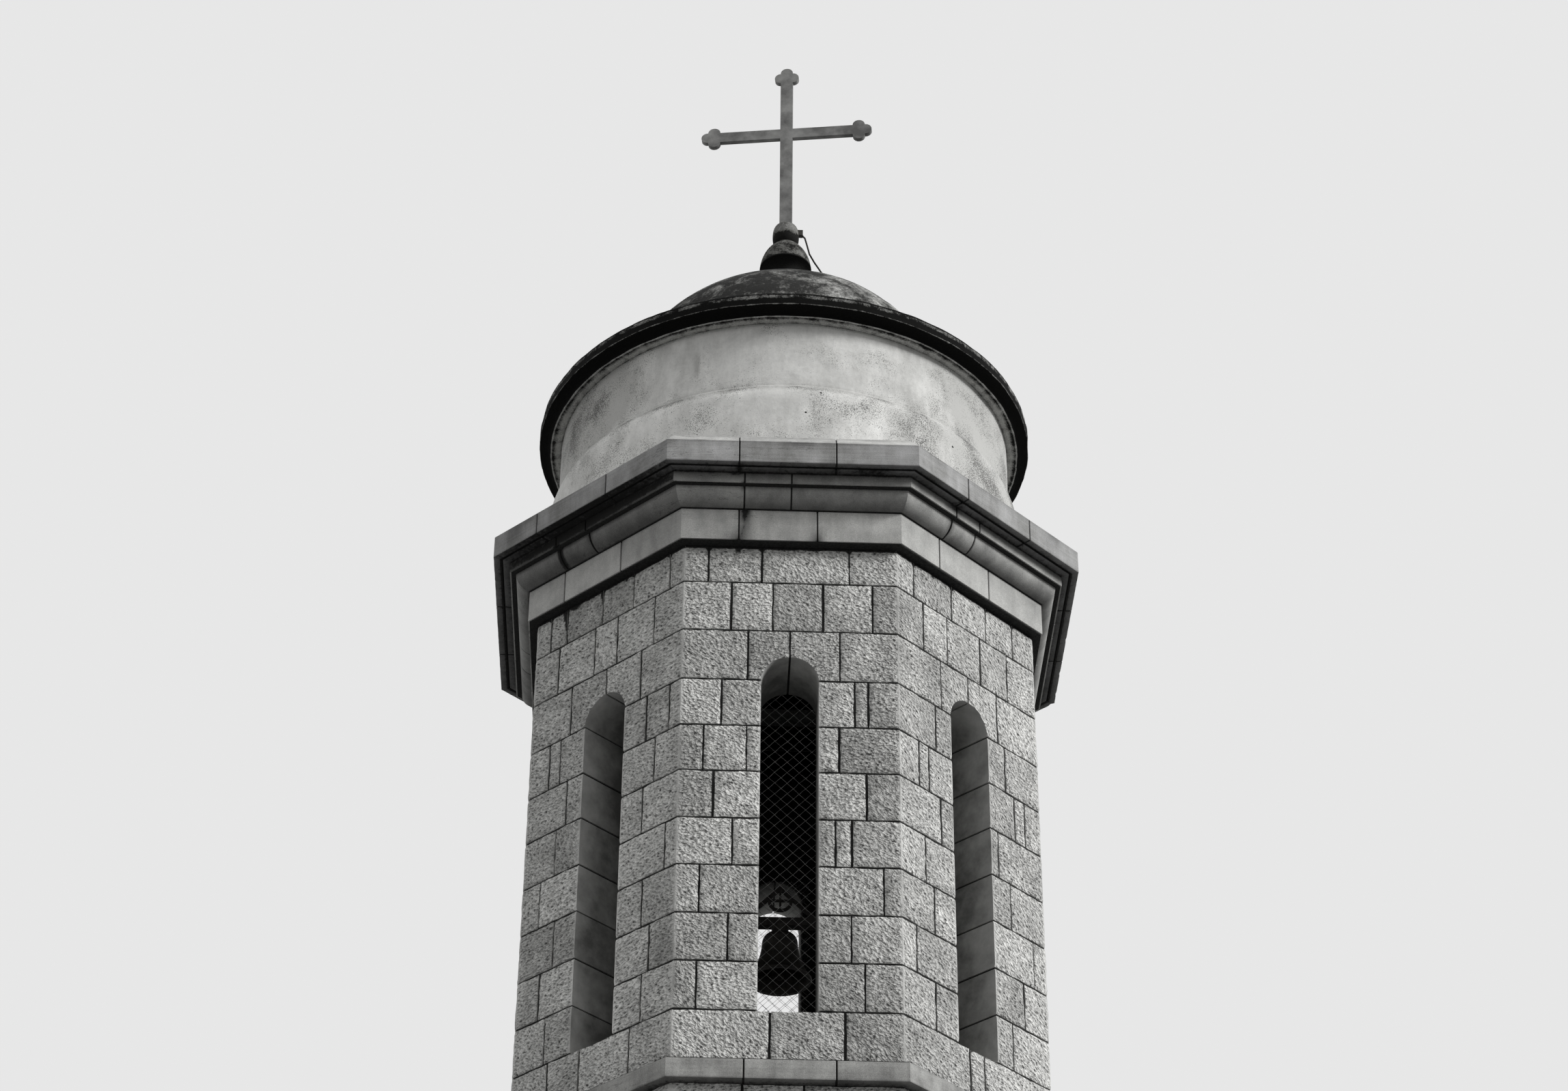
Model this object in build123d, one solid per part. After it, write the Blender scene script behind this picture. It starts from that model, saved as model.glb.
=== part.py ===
from build123d import *
from math import acos, atan2, cos, degrees, radians, sin, sqrt, tan
import os

# Stone bell tower, octagonal in plan, millimetres, +Z up.
# The origin is the middle of the base on the ground, and the front face looks along -Y.

# Plan of the tower
side_count = 8
wall_face = 1500.0
wall_thickness = 400.0
inner_face = wall_face - wall_thickness
half_turn = 180 / side_count

# Heights of the main stages
base_height = 150.0
base_projection = 80.0
base_chamfer = 40.0
string_top = 9000.0
string_height = 120.0
string_projection = 60.0
belfry_height = 3350.0
belfry_top = string_top + belfry_height

# Floor of the bell stage
floor_thickness = 140.0

# Doorway and door
door_width = 700.0
door_spring = 1500.0
door_thickness = 55.0
door_setback = 240.0
door_clearance = 4.0

# Arched openings of the bell stage
window_width = 330.0
window_sill = 310.0
window_spring = 2415.0

# Cornice, from the bed course upwards
bed_height = 218.0
bed_projection = 62.0
ovolo_height = 112.0
ovolo_projection = 88.0
ovolo_runs = 5
fillet_height = 76.0
fillet_projection = 38.0
corona_height = 150.0
corona_projection = 102.0
throat_setback = 37.0
throat_width = 20.0
throat_depth = 14.0
weathering_height = 112.0
weathering_inset = 105.0
eye_face = 900.0

# Dome, whose inside goes on down as the inside of the drum
dome_radius = 1158.0
dome_thickness = 178.0
dome_stilt = 16.0
dome_seat = 150.0
inner_runs = 4

# Round drum
drum_inner = dome_radius - dome_thickness
drum_outer = 1447.0
drum_height = 1064.0
skirt_height = 584.0
skirt_foot = 1525.0
skirt_shoulder = 1505.0
shoulder_height = 150.0
shoulder_runs = 4
drum_parts = 4

# Rim moulding at the head of the drum
rim_soffit = 73.0
rim_fillet = 12.0
rim_cove_height = 28.0
rim_cove = 60.0
cove_runs = 4
rim_lip = 12.0
rim_face_height = 88.0

# Finial on the dome
plinth_height = 56.0
stem_radius = 105.0
stem_start = 136.0
stem_height = 256.0
urn_radius = 176.0
urn_start = 344.0
urn_height = 214.0
neck_radius = 72.0
ball_radius = 90.0
ball_height = 176.0

# Cross
cross_thickness = 34.0
cross_width = 86.0
arm_height = 84.0
arm_reach = 598.0
crossing_height = 845.0
top_reach = 615.0
lobe_radius = 43.0
lobe_offset = 42.0
lobe_inset = 90.0
cross_turn = -7.5

# Bell and its yoke
axis_height = 1675.0
yoke_height = 53.0
yoke_depth = 60.0
yoke_reach = 340.0
brace_foot = 215.0
brace_rise = 210.0
brace_width = 25.0
brace_depth = 14.0
wheel_radius = 75.0
wheel_rim = 17.0
wheel_spoke = 13.0
wheel_centre = 127.0
gudgeon_radius = 15.0
gudgeon_play = 0.05
bearing_reach = 400.0
bearing_width = 60.0
bearing_depth = 120.0
bearing_base = 35.0
bearing_plate = 14.0
bearing_radius = 34.0
beam_width = 80.0
beam_depth = 160.0
bell_mouth = 190.0
bell_height = 316.0
bell_shoulder = 105.0
bell_wall = 14.0
bell_lip = 26.0
crown_height = 45.0
crown_top = 56.0
crown_foot = 42.0
crown_thickness = 20.0
staple_seat = 34.0
clapper_rod = 9.0
clapper_ball = 26.0
clapper_drop = 262.0

# Lightning conductor, its clips and its clamp on the ball
conductor_radius = 6.0
conductor_standoff = 20.0
conductor_offset = 412.0
conductor_side = 45.0
edge_setback = 40.0
clip_width = 46.0
clip_height = 26.0
clip_cover = 5.0
clip_spacing = 1250.0
clip_play = 0.3
clamp_length = 46.0
clamp_width = 34.0
clamp_height = 44.0


def octagon(face):
    """Plan of the tower at one distance from the middle to each side."""
    return RegularPolygon(face, side_count, major_radius=False, rotation=half_turn)


def side_wedge(reach, bottom, top):
    """Eighth of the plan that belongs to the front side, as a tall wedge."""
    half = reach * tan(radians(half_turn))
    plan = make_face(Polyline((0, 0), (half, -reach), (-half, -reach), close=True))
    return Pos(0, 0, bottom) * extrude(plan, top - bottom)


def around(part, index):
    """The front side's piece, turned to another side of the tower."""
    return Rot(0, 0, index * 360 / side_count) * part


def octagon_ring(section, reach, bottom, top):
    """A moulded course: its section runs along each side and is mitred at the corners."""
    bar = extrude(Plane.YZ * section, reach, both=True)
    side = bar & side_wedge(reach, bottom - 1, top + 1)
    ring = side
    for index in range(1, side_count):
        ring = ring + around(side, index)
    return ring.clean()


def turned(section, angle=360.0, start=0.0):
    """A round piece: a section in the XZ plane turned about the vertical axis."""
    return Rot(0, 0, start) * revolve(Plane.XZ * section, Axis.Z, angle)


def wall_panel(bottom, top):
    """One side of the octagonal wall, mitred against its neighbours."""
    outer = wall_face * tan(radians(half_turn))
    inner = inner_face * tan(radians(half_turn))
    plan = make_face(Polyline(
        (-outer, -wall_face), (outer, -wall_face), (inner, -inner_face), (-inner, -inner_face), close=True))
    return Pos(0, 0, bottom) * extrude(plan, top - bottom)


def arched_void(width, bottom, spring, front, back):
    """Space of an opening with a half-round head, from one wall face to the other."""
    outline = Polyline((width / 2, spring), (width / 2, bottom), (-width / 2, bottom), (-width / 2, spring))
    head = ThreePointArc((-width / 2, spring), (0, spring + width / 2), (width / 2, spring))
    face = make_face(outline + head)
    return Pos(0, front, 0) * extrude(Plane.XZ * face, front - back)


def quarter(reach, height, width, rise, runs, sweep_angle=90.0):
    """Straight runs along a quarter of an ellipse, or less, that starts level with its middle."""
    points = []
    for index in range(runs + 1):
        turn = radians(sweep_angle * index / runs)
        points.append((round(reach + width * cos(turn), 6), round(height + rise * sin(turn), 6)))
    return points


def bend(start, corner, end, runs):
    """Straight runs along a smooth bend that leaves and meets its end lines at one corner."""
    points = []
    for index in range(runs + 1):
        along = index / runs
        shares = ((1 - along) ** 2, 2 * along * (1 - along), along ** 2)
        reach = sum(share * point[0] for share, point in zip(shares, (start, corner, end)))
        height = sum(share * point[1] for share, point in zip(shares, (start, corner, end)))
        points.append((reach, height))
    return points


parts = {}

# Base course: one solid footing slab, which is also the floor inside and the door's step
base_face = wall_face + base_projection
base_slab = extrude(octagon(base_face), base_height)
parts["base_course"] = chamfer(base_slab.edges().group_by(Axis.Z)[-1], base_chamfer)

# Lower shaft: eight mitred walls, with the front one split beside and over the doorway
string_bottom = string_top - string_height
shaft_names = ["front", "front_right", "right", "back_right", "back", "back_left", "left", "front_left"]
for index in range(1, side_count):
    parts["shaft_wall_" + shaft_names[index]] = around(wall_panel(base_height, string_bottom), index)
front_wall = wall_panel(base_height, string_bottom)
door_strip = Pos(0, -wall_face, string_top / 2) * Box(door_width, 3 * wall_thickness, 2 * string_top)
jambs = (front_wall - door_strip).solids().sort_by(Axis.X)
parts["door_jamb_left"] = jambs[0]
parts["door_jamb_right"] = jambs[1]
doorway = arched_void(door_width, 0, base_height + door_spring, -wall_face - 10, -inner_face + 10)
parts["wall_over_door"] = (front_wall & door_strip) - doorway

# Door: a plank leaf with a round head, closed in the doorway
leaf_width = door_width - 2 * door_clearance
leaf_front = -wall_face + door_setback
parts["door"] = arched_void(
    leaf_width, base_height, base_height + door_spring, leaf_front, leaf_front + door_thickness)

# String course between the shaft and the bell stage
string_face = wall_face + string_projection
string_plan = octagon(string_face) - octagon(inner_face)
parts["string_course"] = Pos(0, 0, string_bottom) * extrude(string_plan, string_height)

# Floor of the bell stage, carried between the walls at the string course
parts["belfry_floor"] = Pos(0, 0, string_top - floor_thickness) * extrude(octagon(inner_face), floor_thickness)

# Bell stage: eight walls, each with its arched opening
window = arched_void(
    window_width, string_top + window_sill, string_top + window_spring, -wall_face - 10, -inner_face + 10)
belfry_wall = wall_panel(string_top, belfry_top) - window
for index, side in enumerate(shaft_names):
    parts["belfry_wall_" + side] = around(belfry_wall, index)


# Bed course: plain square band under the round moulding
bed_face = wall_face + bed_projection
bed_top = belfry_top + bed_height
parts["bed_course"] = Pos(0, 0, belfry_top) * extrude(octagon(bed_face) - octagon(inner_face), bed_height)

# Ovolo course: a round moulding, upright at its head, that rises from the bed to a square fillet
ovolo_top = bed_top + ovolo_height
ovolo_face = bed_face + ovolo_projection
fillet_face = ovolo_face + fillet_projection
fillet_top = ovolo_top + fillet_height
ovolo_radius = (ovolo_projection ** 2 + ovolo_height ** 2) / (2 * ovolo_projection)
ovolo_sweep = degrees(atan2(ovolo_height, ovolo_radius - ovolo_projection))
ovolo = quarter(ovolo_face - ovolo_radius, ovolo_top, ovolo_radius, -ovolo_radius, ovolo_runs, ovolo_sweep)
ovolo_profile = ovolo[::-1] + [
    (fillet_face, ovolo_top), (fillet_face, fillet_top), (inner_face, fillet_top), (inner_face, bed_top)]
ovolo_section = make_face(Polyline([(-reach, height) for reach, height in ovolo_profile], close=True))
parts["ovolo_course"] = octagon_ring(ovolo_section, fillet_face + fillet_projection, bed_top, fillet_top)

# Corona: the broad projecting course, throated below, which closes in on the eye under the drum
corona_face = fillet_face + corona_projection
corona_top = fillet_top + corona_height
throat_face = corona_face - throat_setback
corona = extrude(octagon(corona_face) - octagon(eye_face), corona_height)
throat = extrude(octagon(throat_face) - octagon(throat_face - throat_width), throat_depth)
parts["corona"] = Pos(0, 0, fillet_top) * (corona - throat)

# Weathering course: its sides slope back to shed rain, and the drum stands on it
drum_base = corona_top + weathering_height
weathering_face = corona_face - weathering_inset
weathering_section = make_face(Polyline(
    (-corona_face, corona_top), (-weathering_face, drum_base), (-eye_face, drum_base), (-eye_face, corona_top),
    close=True))
parts["weathering_course"] = octagon_ring(
    weathering_section, corona_face + weathering_inset, corona_top, drum_base)

# Drum: a plain round wall over a spreading skirt with a rounded shoulder, in four segments
skirt_top = drum_base + skirt_height
drum_top = drum_base + drum_height
shoulder_bottom = skirt_top - shoulder_height
shoulder = bend(
    (skirt_shoulder, shoulder_bottom), (skirt_shoulder - 4, skirt_top - 0.43 * shoulder_height),
    (drum_outer, skirt_top), shoulder_runs)
drum_profile = [(skirt_foot, drum_base)] + shoulder + [
    (drum_outer, drum_top), (drum_inner, drum_top), (drum_inner, drum_base)]
drum_section = make_face(Polyline(drum_profile, close=True))
segment_turn = 360 / drum_parts
segment_names = ["right", "back", "left", "front"]
for index, side in enumerate(segment_names):
    parts["drum_" + side] = turned(drum_section, segment_turn, (index - 0.5) * segment_turn)

# Rim moulding: flat soffit, fillet, small cove and a square face
rim_foot = drum_outer + rim_soffit
cove_bottom = drum_top + rim_fillet
cove_top = cove_bottom + rim_cove_height
rim_face = rim_foot + rim_cove + rim_lip
rim_top = cove_top + rim_face_height
cove = quarter(rim_foot + rim_cove, cove_bottom, -rim_cove, rim_cove_height, cove_runs)
rim_profile = [(rim_foot, drum_top)] + cove + [
    (rim_face, cove_top), (rim_face, rim_top), (drum_inner, rim_top), (drum_inner, drum_top)]
parts["rim_moulding"] = turned(make_face(Polyline(rim_profile, close=True)))

# Dome: a half-round shell on the rim, flat at the crown where the finial stands
dome_centre = rim_top + dome_stilt
seat_angle = acos(dome_seat / dome_radius)
dome_seat_height = dome_centre + dome_radius * sin(seat_angle)
outer_skin = CenterArc((0, dome_centre), dome_radius, 0, degrees(seat_angle))
inner_skin = quarter(0, dome_centre, drum_inner, drum_inner, inner_runs)
dome_foot = Polyline([(dome_radius, dome_centre), (dome_radius, rim_top), (drum_inner, rim_top)] + inner_skin)
dome_crown = Polyline(inner_skin[-1], (0, dome_seat_height), (dome_seat, dome_seat_height))
parts["dome"] = turned(make_face(dome_foot + dome_crown + outer_skin))

# Finial: foot, stem and a pear-shaped urn, turned in one piece
finial_base = dome_seat_height
plinth_top = finial_base + plinth_height
stem_bottom = finial_base + stem_start
stem_top = finial_base + stem_height
urn_bottom = finial_base + urn_start
urn_top = urn_bottom + urn_height
foot_curve = bend((dome_seat, plinth_top), (stem_radius + 4, plinth_top + 9), (stem_radius, stem_bottom), 4)
under_curve = bend((stem_radius, stem_top), (stem_radius, urn_bottom - 24), (urn_radius, urn_bottom), 4)
urn_curve = bend(
    (urn_radius, urn_bottom), (urn_radius - 14, urn_bottom + 0.65 * urn_height), (neck_radius, urn_top), 6)
urn_profile = [(0, finial_base), (dome_seat, finial_base)] + foot_curve + under_curve + urn_curve[1:]
urn_profile.append((0, urn_top))
parts["finial_urn"] = turned(make_face(Polyline(urn_profile, close=True)))

# Ball on the urn's neck, flattened on top where the cross stands
ball_top = urn_top + ball_height
ball_seat = cross_width / 2 + 4
ball_middle = urn_top + 0.42 * ball_height
lower_curve = bend((neck_radius, urn_top), (ball_radius, urn_top + 18), (ball_radius, ball_middle), 2)
upper_curve = bend((ball_radius, ball_middle), (ball_radius, ball_top - 5), (ball_seat, ball_top), 4)
ball_profile = [(0, urn_top)] + lower_curve + upper_curve[1:] + [(0, ball_top)]
parts["finial_ball"] = turned(make_face(Polyline(ball_profile, close=True)))

# Cross: flat bars with three round lobes at each free end, turned a little about its shaft
crossing = ball_top + crossing_height


def lobed_end(reach):
    """The three lobes at the end of an arm that points along +X in the plane of the cross."""
    end = Pos(reach - lobe_radius, 0) * Circle(lobe_radius)
    for side in (-1, 1):
        end = end + Pos(reach - lobe_inset, side * lobe_offset) * Circle(lobe_radius)
    return end


shaft_length = crossing_height + top_reach - lobe_inset
cross_face = Pos(0, shaft_length / 2 - crossing_height) * Rectangle(cross_width, shaft_length)
cross_face = cross_face + Rectangle(2 * (arm_reach - lobe_inset), arm_height)
cross_face = cross_face + lobed_end(arm_reach) + Rot(0, 0, 180) * lobed_end(arm_reach)
cross_face = cross_face + Rot(0, 0, 90) * lobed_end(top_reach)
cross_plate = extrude(Plane.XZ * cross_face, cross_thickness / 2, both=True)
parts["cross"] = Pos(0, 0, crossing) * Rot(0, 0, cross_turn) * cross_plate

# Bell beams: two timbers from front wall to back wall
bell_axis = string_top + axis_height
beam_top = bell_axis - bearing_base
beam = Pos(0, 0, beam_top - beam_depth / 2) * Box(beam_width, 2 * inner_face, beam_depth)
parts["bell_beams"] = Compound([Pos(side * bearing_reach, 0, 0) * beam for side in (-1, 1)])

# Bearings on the beams: a base and a round-topped block with the gudgeon's bore
plate = Pos(0, 0, beam_top + bearing_plate / 2) * Box(bearing_width, bearing_depth, bearing_plate)
cheek_width = bearing_width - 10
web = Pos(0, 0, (beam_top + bell_axis) / 2) * Box(cheek_width, 2 * bearing_radius, bearing_base)
cap = Pos(0, 0, bell_axis) * Rot(0, 90, 0) * Cylinder(bearing_radius, cheek_width)
bore = Pos(0, 0, bell_axis) * Rot(0, 90, 0) * Cylinder(gudgeon_radius + gudgeon_play, 2 * bearing_width)
block = plate + web + cap - bore
parts["bell_bearings"] = Compound([Pos(side * bearing_reach, 0, 0) * block for side in (-1, 1)])

# Yoke: square bar with a gudgeon at each end, an inverted-V brace and a spoked wheel in it
yoke = Box(2 * yoke_reach, yoke_depth, yoke_height)
yoke = yoke + Rot(0, 90, 0) * Cylinder(gudgeon_radius, 2 * (bearing_reach + bearing_width / 2 + 5))
yoke_top = yoke_height / 2
brace_length = sqrt(brace_foot ** 2 + brace_rise ** 2) + brace_width / 2
brace_angle = Vector(brace_foot, brace_rise).get_angle(Vector(1, 0))
for side in (-1, 1):
    brace = Pos(side * brace_foot / 2, 0, yoke_top + brace_rise / 2) * Rot(0, side * brace_angle, 0) * Box(
        brace_length, brace_depth, brace_width)
    yoke = yoke + brace
wheel = Circle(wheel_radius) - Circle(wheel_radius - wheel_rim)
wheel = wheel + Rectangle(wheel_spoke, 2 * wheel_radius - wheel_rim)
wheel = wheel + Rectangle(2 * wheel_radius - wheel_rim, wheel_spoke)
wheel_plate = extrude(Plane.XZ * wheel, brace_depth / 2, both=True)
yoke = yoke + Pos(0, 0, yoke_top + wheel_centre) * wheel_plate
below_bar = Pos(0, 0, -yoke_height / 2) * Box(
    4 * yoke_reach, 4 * yoke_depth, brace_rise, align=(Align.CENTER, Align.CENTER, Align.MAX))
parts["bell_yoke"] = Pos(0, 0, bell_axis) * (yoke - below_bar)

# Bell: crown block, rounded shoulder, waist and flared lip, hollow inside
crown_level = bell_axis - yoke_height / 2
shoulder_level = crown_level - crown_height
mouth_level = shoulder_level - bell_height
waist_level = shoulder_level - 0.19 * bell_height
flare_level = shoulder_level - 0.635 * bell_height
bead_level = mouth_level + 10
outer_top = bend(
    (crown_foot, shoulder_level), (bell_shoulder - 7, shoulder_level - 8), (bell_shoulder + 1, waist_level), 4)
outer_waist = bend(
    (bell_shoulder + 1, waist_level), (bell_shoulder + 8, flare_level), (bell_mouth, bead_level), 7)
inner_mouth = bell_mouth - bell_lip
inner_shoulder = bell_shoulder + 1 - bell_wall
inner_waist = bend(
    (inner_mouth, mouth_level), (inner_shoulder + 15, flare_level), (inner_shoulder, waist_level), 4)
inner_top = bend(
    (inner_shoulder, waist_level), (inner_shoulder - 4, shoulder_level - crown_thickness - 2),
    (staple_seat, shoulder_level - crown_thickness), 3)
bell_profile = [(0, crown_level), (crown_top, crown_level)] + outer_top + outer_waist[1:] + [
    (bell_mouth - 4, mouth_level)] + inner_waist + inner_top[1:] + [(0, shoulder_level - crown_thickness)]
parts["bell"] = turned(make_face(Polyline(bell_profile, close=True)))

# Clapper: a rod with a ball, hung from the crown inside the bell
rod_top = shoulder_level - crown_thickness
ball_level = rod_top - clapper_drop
lower_half = quarter(0, ball_level, clapper_ball, -clapper_ball, 3)[::-1]
upper_half = quarter(0, ball_level, clapper_ball, clapper_ball, 4)[1:-1]
clapper_profile = lower_half + upper_half + [(clapper_rod, rod_top), (0, rod_top)]
parts["clapper"] = turned(make_face(Polyline(clapper_profile, close=True)))

# Lightning conductor: a round rod from the clamp on the ball, over the dome, rim and cornice, down one wall
drop_radius = rim_face + conductor_standoff
drop = sqrt(drop_radius ** 2 - conductor_offset ** 2)
dome_line = conductor_side - degrees(atan2(conductor_offset, drop))


def beside_wall(distance, height):
    """Point in front of the back right side, at one distance from the middle of the tower."""
    return Vector(distance, -conductor_offset, height).rotate(Axis.Z, conductor_side)


def above_dome(radius, height):
    """Point over the roof, on the line where the rod comes down."""
    return Vector(radius, 0, height).rotate(Axis.Z, dome_line)


def over_dome(angle):
    """Point a little off the dome's skin, at one angle from its crown."""
    reach = dome_radius + conductor_standoff
    return above_dome(reach * sin(radians(angle)), dome_centre + reach * cos(radians(angle)))


clamp_level = urn_top + 0.66 * ball_height
clamp_reach = ball_radius + 12
wall_line = wall_face + conductor_standoff
string_line = string_face + conductor_standoff
corona_line = corona_face + conductor_standoff
base_line = base_face + conductor_standoff
slope = degrees(atan2(weathering_height, weathering_inset))
slope_top = weathering_face + conductor_standoff * tan(radians(slope / 2))
slope_foot = corona_top + conductor_standoff * tan(radians(45 - slope / 2))
free_stretch = [
    Vector(clamp_reach, 0, clamp_level), Vector(clamp_reach + 30, 5, clamp_level - 36),
    Vector(clamp_reach + 46, 18, clamp_level - 92), Vector(clamp_reach + 62, 34, clamp_level - 150),
    Vector(clamp_reach + 96, 58, clamp_level - 202), Vector(clamp_reach + 150, 98, clamp_level - 264),
    Vector(clamp_reach + 240, 164, clamp_level - 392), Vector(clamp_reach + 330, 232, clamp_level - 560)]
dome_stretch = [over_dome(angle) for angle in (32, 44, 56, 68, 80, 90)]
rim_stretch = [
    above_dome(dome_radius + 100, rim_top + conductor_standoff),
    beside_wall(drop, rim_top + conductor_standoff),
    beside_wall(drop, drum_base + conductor_standoff), beside_wall(slope_top, drum_base + conductor_standoff)]
wall_stretch = [
    beside_wall(corona_line, slope_foot), beside_wall(corona_line, fillet_top - 6),
    beside_wall(wall_line, belfry_top - 210), beside_wall(wall_line, string_top + 120),
    beside_wall(string_line, string_top + 20), beside_wall(string_line, string_bottom - 20),
    beside_wall(wall_line, string_bottom - 120), beside_wall(wall_line, base_height + 100),
    beside_wall(base_line, base_height - 30), beside_wall(base_line, 1)]
route = free_stretch + dome_stretch + rim_stretch + wall_stretch


def bent_rod(points, radius):
    """A round rod along straight runs, each sharp corner eased by a short run across it."""
    line = [points[0]]
    for before, corner, after in zip(points, points[1:], points[2:]):
        way_in = (corner - before).normalized()
        way_out = (after - corner).normalized()
        if way_in.get_angle(way_out) > 40:
            line.append(corner - way_in * edge_setback)
            line.append(corner - (way_in - way_out) * 0.28 * edge_setback)
            line.append(corner + way_out * edge_setback)
        else:
            line.append(corner)
    line.append(points[-1])
    path = Polyline(*line)
    return sweep((path ^ 0) * Circle(radius), path, transition=Transition.RIGHT)


conductor = bent_rod(route, conductor_radius)
parts["lightning_conductor"] = conductor

# Clips: saddles that hold the rod off the stone, and a lug on the ball where it starts
clip_depth = conductor_standoff + conductor_radius + clip_cover


def wall_clip(face, height):
    """Saddle on a flat face of the wall, with the rod's hole upright in it."""
    middle = face + clip_depth / 2
    saddle = Pos(middle, -conductor_offset, height) * Box(clip_depth, clip_width, clip_height)
    hole = Pos(face + conductor_standoff, -conductor_offset, height) * Cylinder(
        conductor_radius + clip_play, 2 * clip_height)
    return Rot(0, 0, conductor_side) * (saddle - hole)


clips = [wall_clip(corona_face, corona_top - corona_height / 2)]
for height in (belfry_top - 500, belfry_top - 500 - clip_spacing, string_top + 400):
    clips.append(wall_clip(wall_face, height))
clip_level = string_bottom - 500
while clip_level > base_height + 300:
    clips.append(wall_clip(wall_face, clip_level))
    clip_level -= clip_spacing
rod_sag = (dome_radius + conductor_standoff) * (1 - cos(radians(6)))
for angle in (50, 74):
    saddle = Box(clip_depth + 8, clip_width, clip_height, align=(Align.MAX, Align.CENTER, Align.CENTER))
    hole = Pos(conductor_standoff - rod_sag - clip_depth, 0, 0) * Cylinder(
        conductor_radius + clip_play, 2 * clip_height)
    reach = dome_radius + clip_depth
    place = Pos(reach * sin(radians(angle)), 0, dome_centre + reach * cos(radians(angle)))
    place = place * Rot(0, angle - 90, 0)
    clip = Rot(0, 0, dome_line) * (place * (saddle - hole))
    clips.append(clip - Pos(0, 0, dome_centre) * Sphere(dome_radius))
parts["conductor_clips"] = Compound(clips)

clamp = Pos(clamp_reach - 8, 0, clamp_level) * Box(clamp_length, clamp_width, clamp_height)
parts["conductor_clamp"] = clamp - parts["finial_ball"] - bent_rod(route[:3], conductor_radius + clip_play)

os.makedirs("parts", exist_ok=True)
for name, shape in parts.items():
    export_step(shape, "parts/" + name + ".step")
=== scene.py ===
import math

import bmesh
import bpy
import numpy as np
from mathutils import Matrix, Vector


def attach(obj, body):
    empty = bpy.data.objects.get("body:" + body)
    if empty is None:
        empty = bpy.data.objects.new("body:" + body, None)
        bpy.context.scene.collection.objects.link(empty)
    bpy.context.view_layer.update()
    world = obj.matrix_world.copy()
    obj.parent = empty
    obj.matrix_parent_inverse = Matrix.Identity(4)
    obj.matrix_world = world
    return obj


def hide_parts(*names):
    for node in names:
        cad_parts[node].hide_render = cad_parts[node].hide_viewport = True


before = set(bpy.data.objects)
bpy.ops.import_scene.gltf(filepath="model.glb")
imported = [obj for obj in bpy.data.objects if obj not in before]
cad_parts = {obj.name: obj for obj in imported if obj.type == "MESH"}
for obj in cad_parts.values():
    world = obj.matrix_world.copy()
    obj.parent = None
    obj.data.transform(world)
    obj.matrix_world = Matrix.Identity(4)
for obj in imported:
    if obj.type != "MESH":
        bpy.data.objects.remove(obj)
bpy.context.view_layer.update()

# Base course
# A footing slab of dressed limestone, one course high, with a weathered top edge.
# It is laid in long blocks with thin mortar joints, and the wall stands back from its face.
SIDES = 8
# half of a side's width, for each millimetre that it stands off the axis
HALF_SIDE = math.tan(math.pi / SIDES)


def linear(code):
    """Colour of an sRGB hex code, as the linear values that a shader takes."""
    parts = [int(code[i:i + 2], 16) / 255 for i in (1, 3, 5)]
    return tuple(p / 12.92 if p <= 0.04045 else ((p + 0.055) / 1.055) ** 2.4 for p in parts) + (1,)


def add(tree, kind, values=None, links=None, stops=None, **settings):
    """A shader node with its settings, the values of its sockets, what feeds them and a ramp's stops.
    A node that feeds a socket does so from its first output in use."""
    made = tree.nodes.new("ShaderNode" + kind)
    for name, value in settings.items():
        setattr(made, name, value)
    for name, value in (values or {}).items():
        made.inputs[name].default_value = value
    for name, source in (links or {}).items():
        if isinstance(source, bpy.types.Node):
            source = next(out for out in source.outputs if out.enabled)
        tree.links.new(source, made.inputs[name])
    for index, (place, colour) in enumerate(stops or []):
        if index > 1:
            made.color_ramp.elements.new(1)
        made.color_ramp.elements[index].position = place
        made.color_ramp.elements[index].color = linear(colour)
    return made


def new_material(name):
    """An empty material, its node tree and the place of a point in metres."""
    material = bpy.data.materials.new(name)
    material.use_nodes = True
    material.node_tree.nodes.clear()
    return material, material.node_tree, add(material.node_tree, "TexCoord").outputs["Object"]


def surface(tree, colour, relief, roughness, metallic=0.0, ior=1.5):
    """The shader that ends a material. Porous stone, mortar and render take a lower IOR than solid ones."""
    links = {"Base Color": colour, "Normal": relief} if relief else {"Base Color": colour}
    shader = add(tree, "BsdfPrincipled", {"Roughness": roughness, "Metallic": metallic, "IOR": ior}, links)
    add(tree, "OutputMaterial", links={"Surface": shader})


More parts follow.
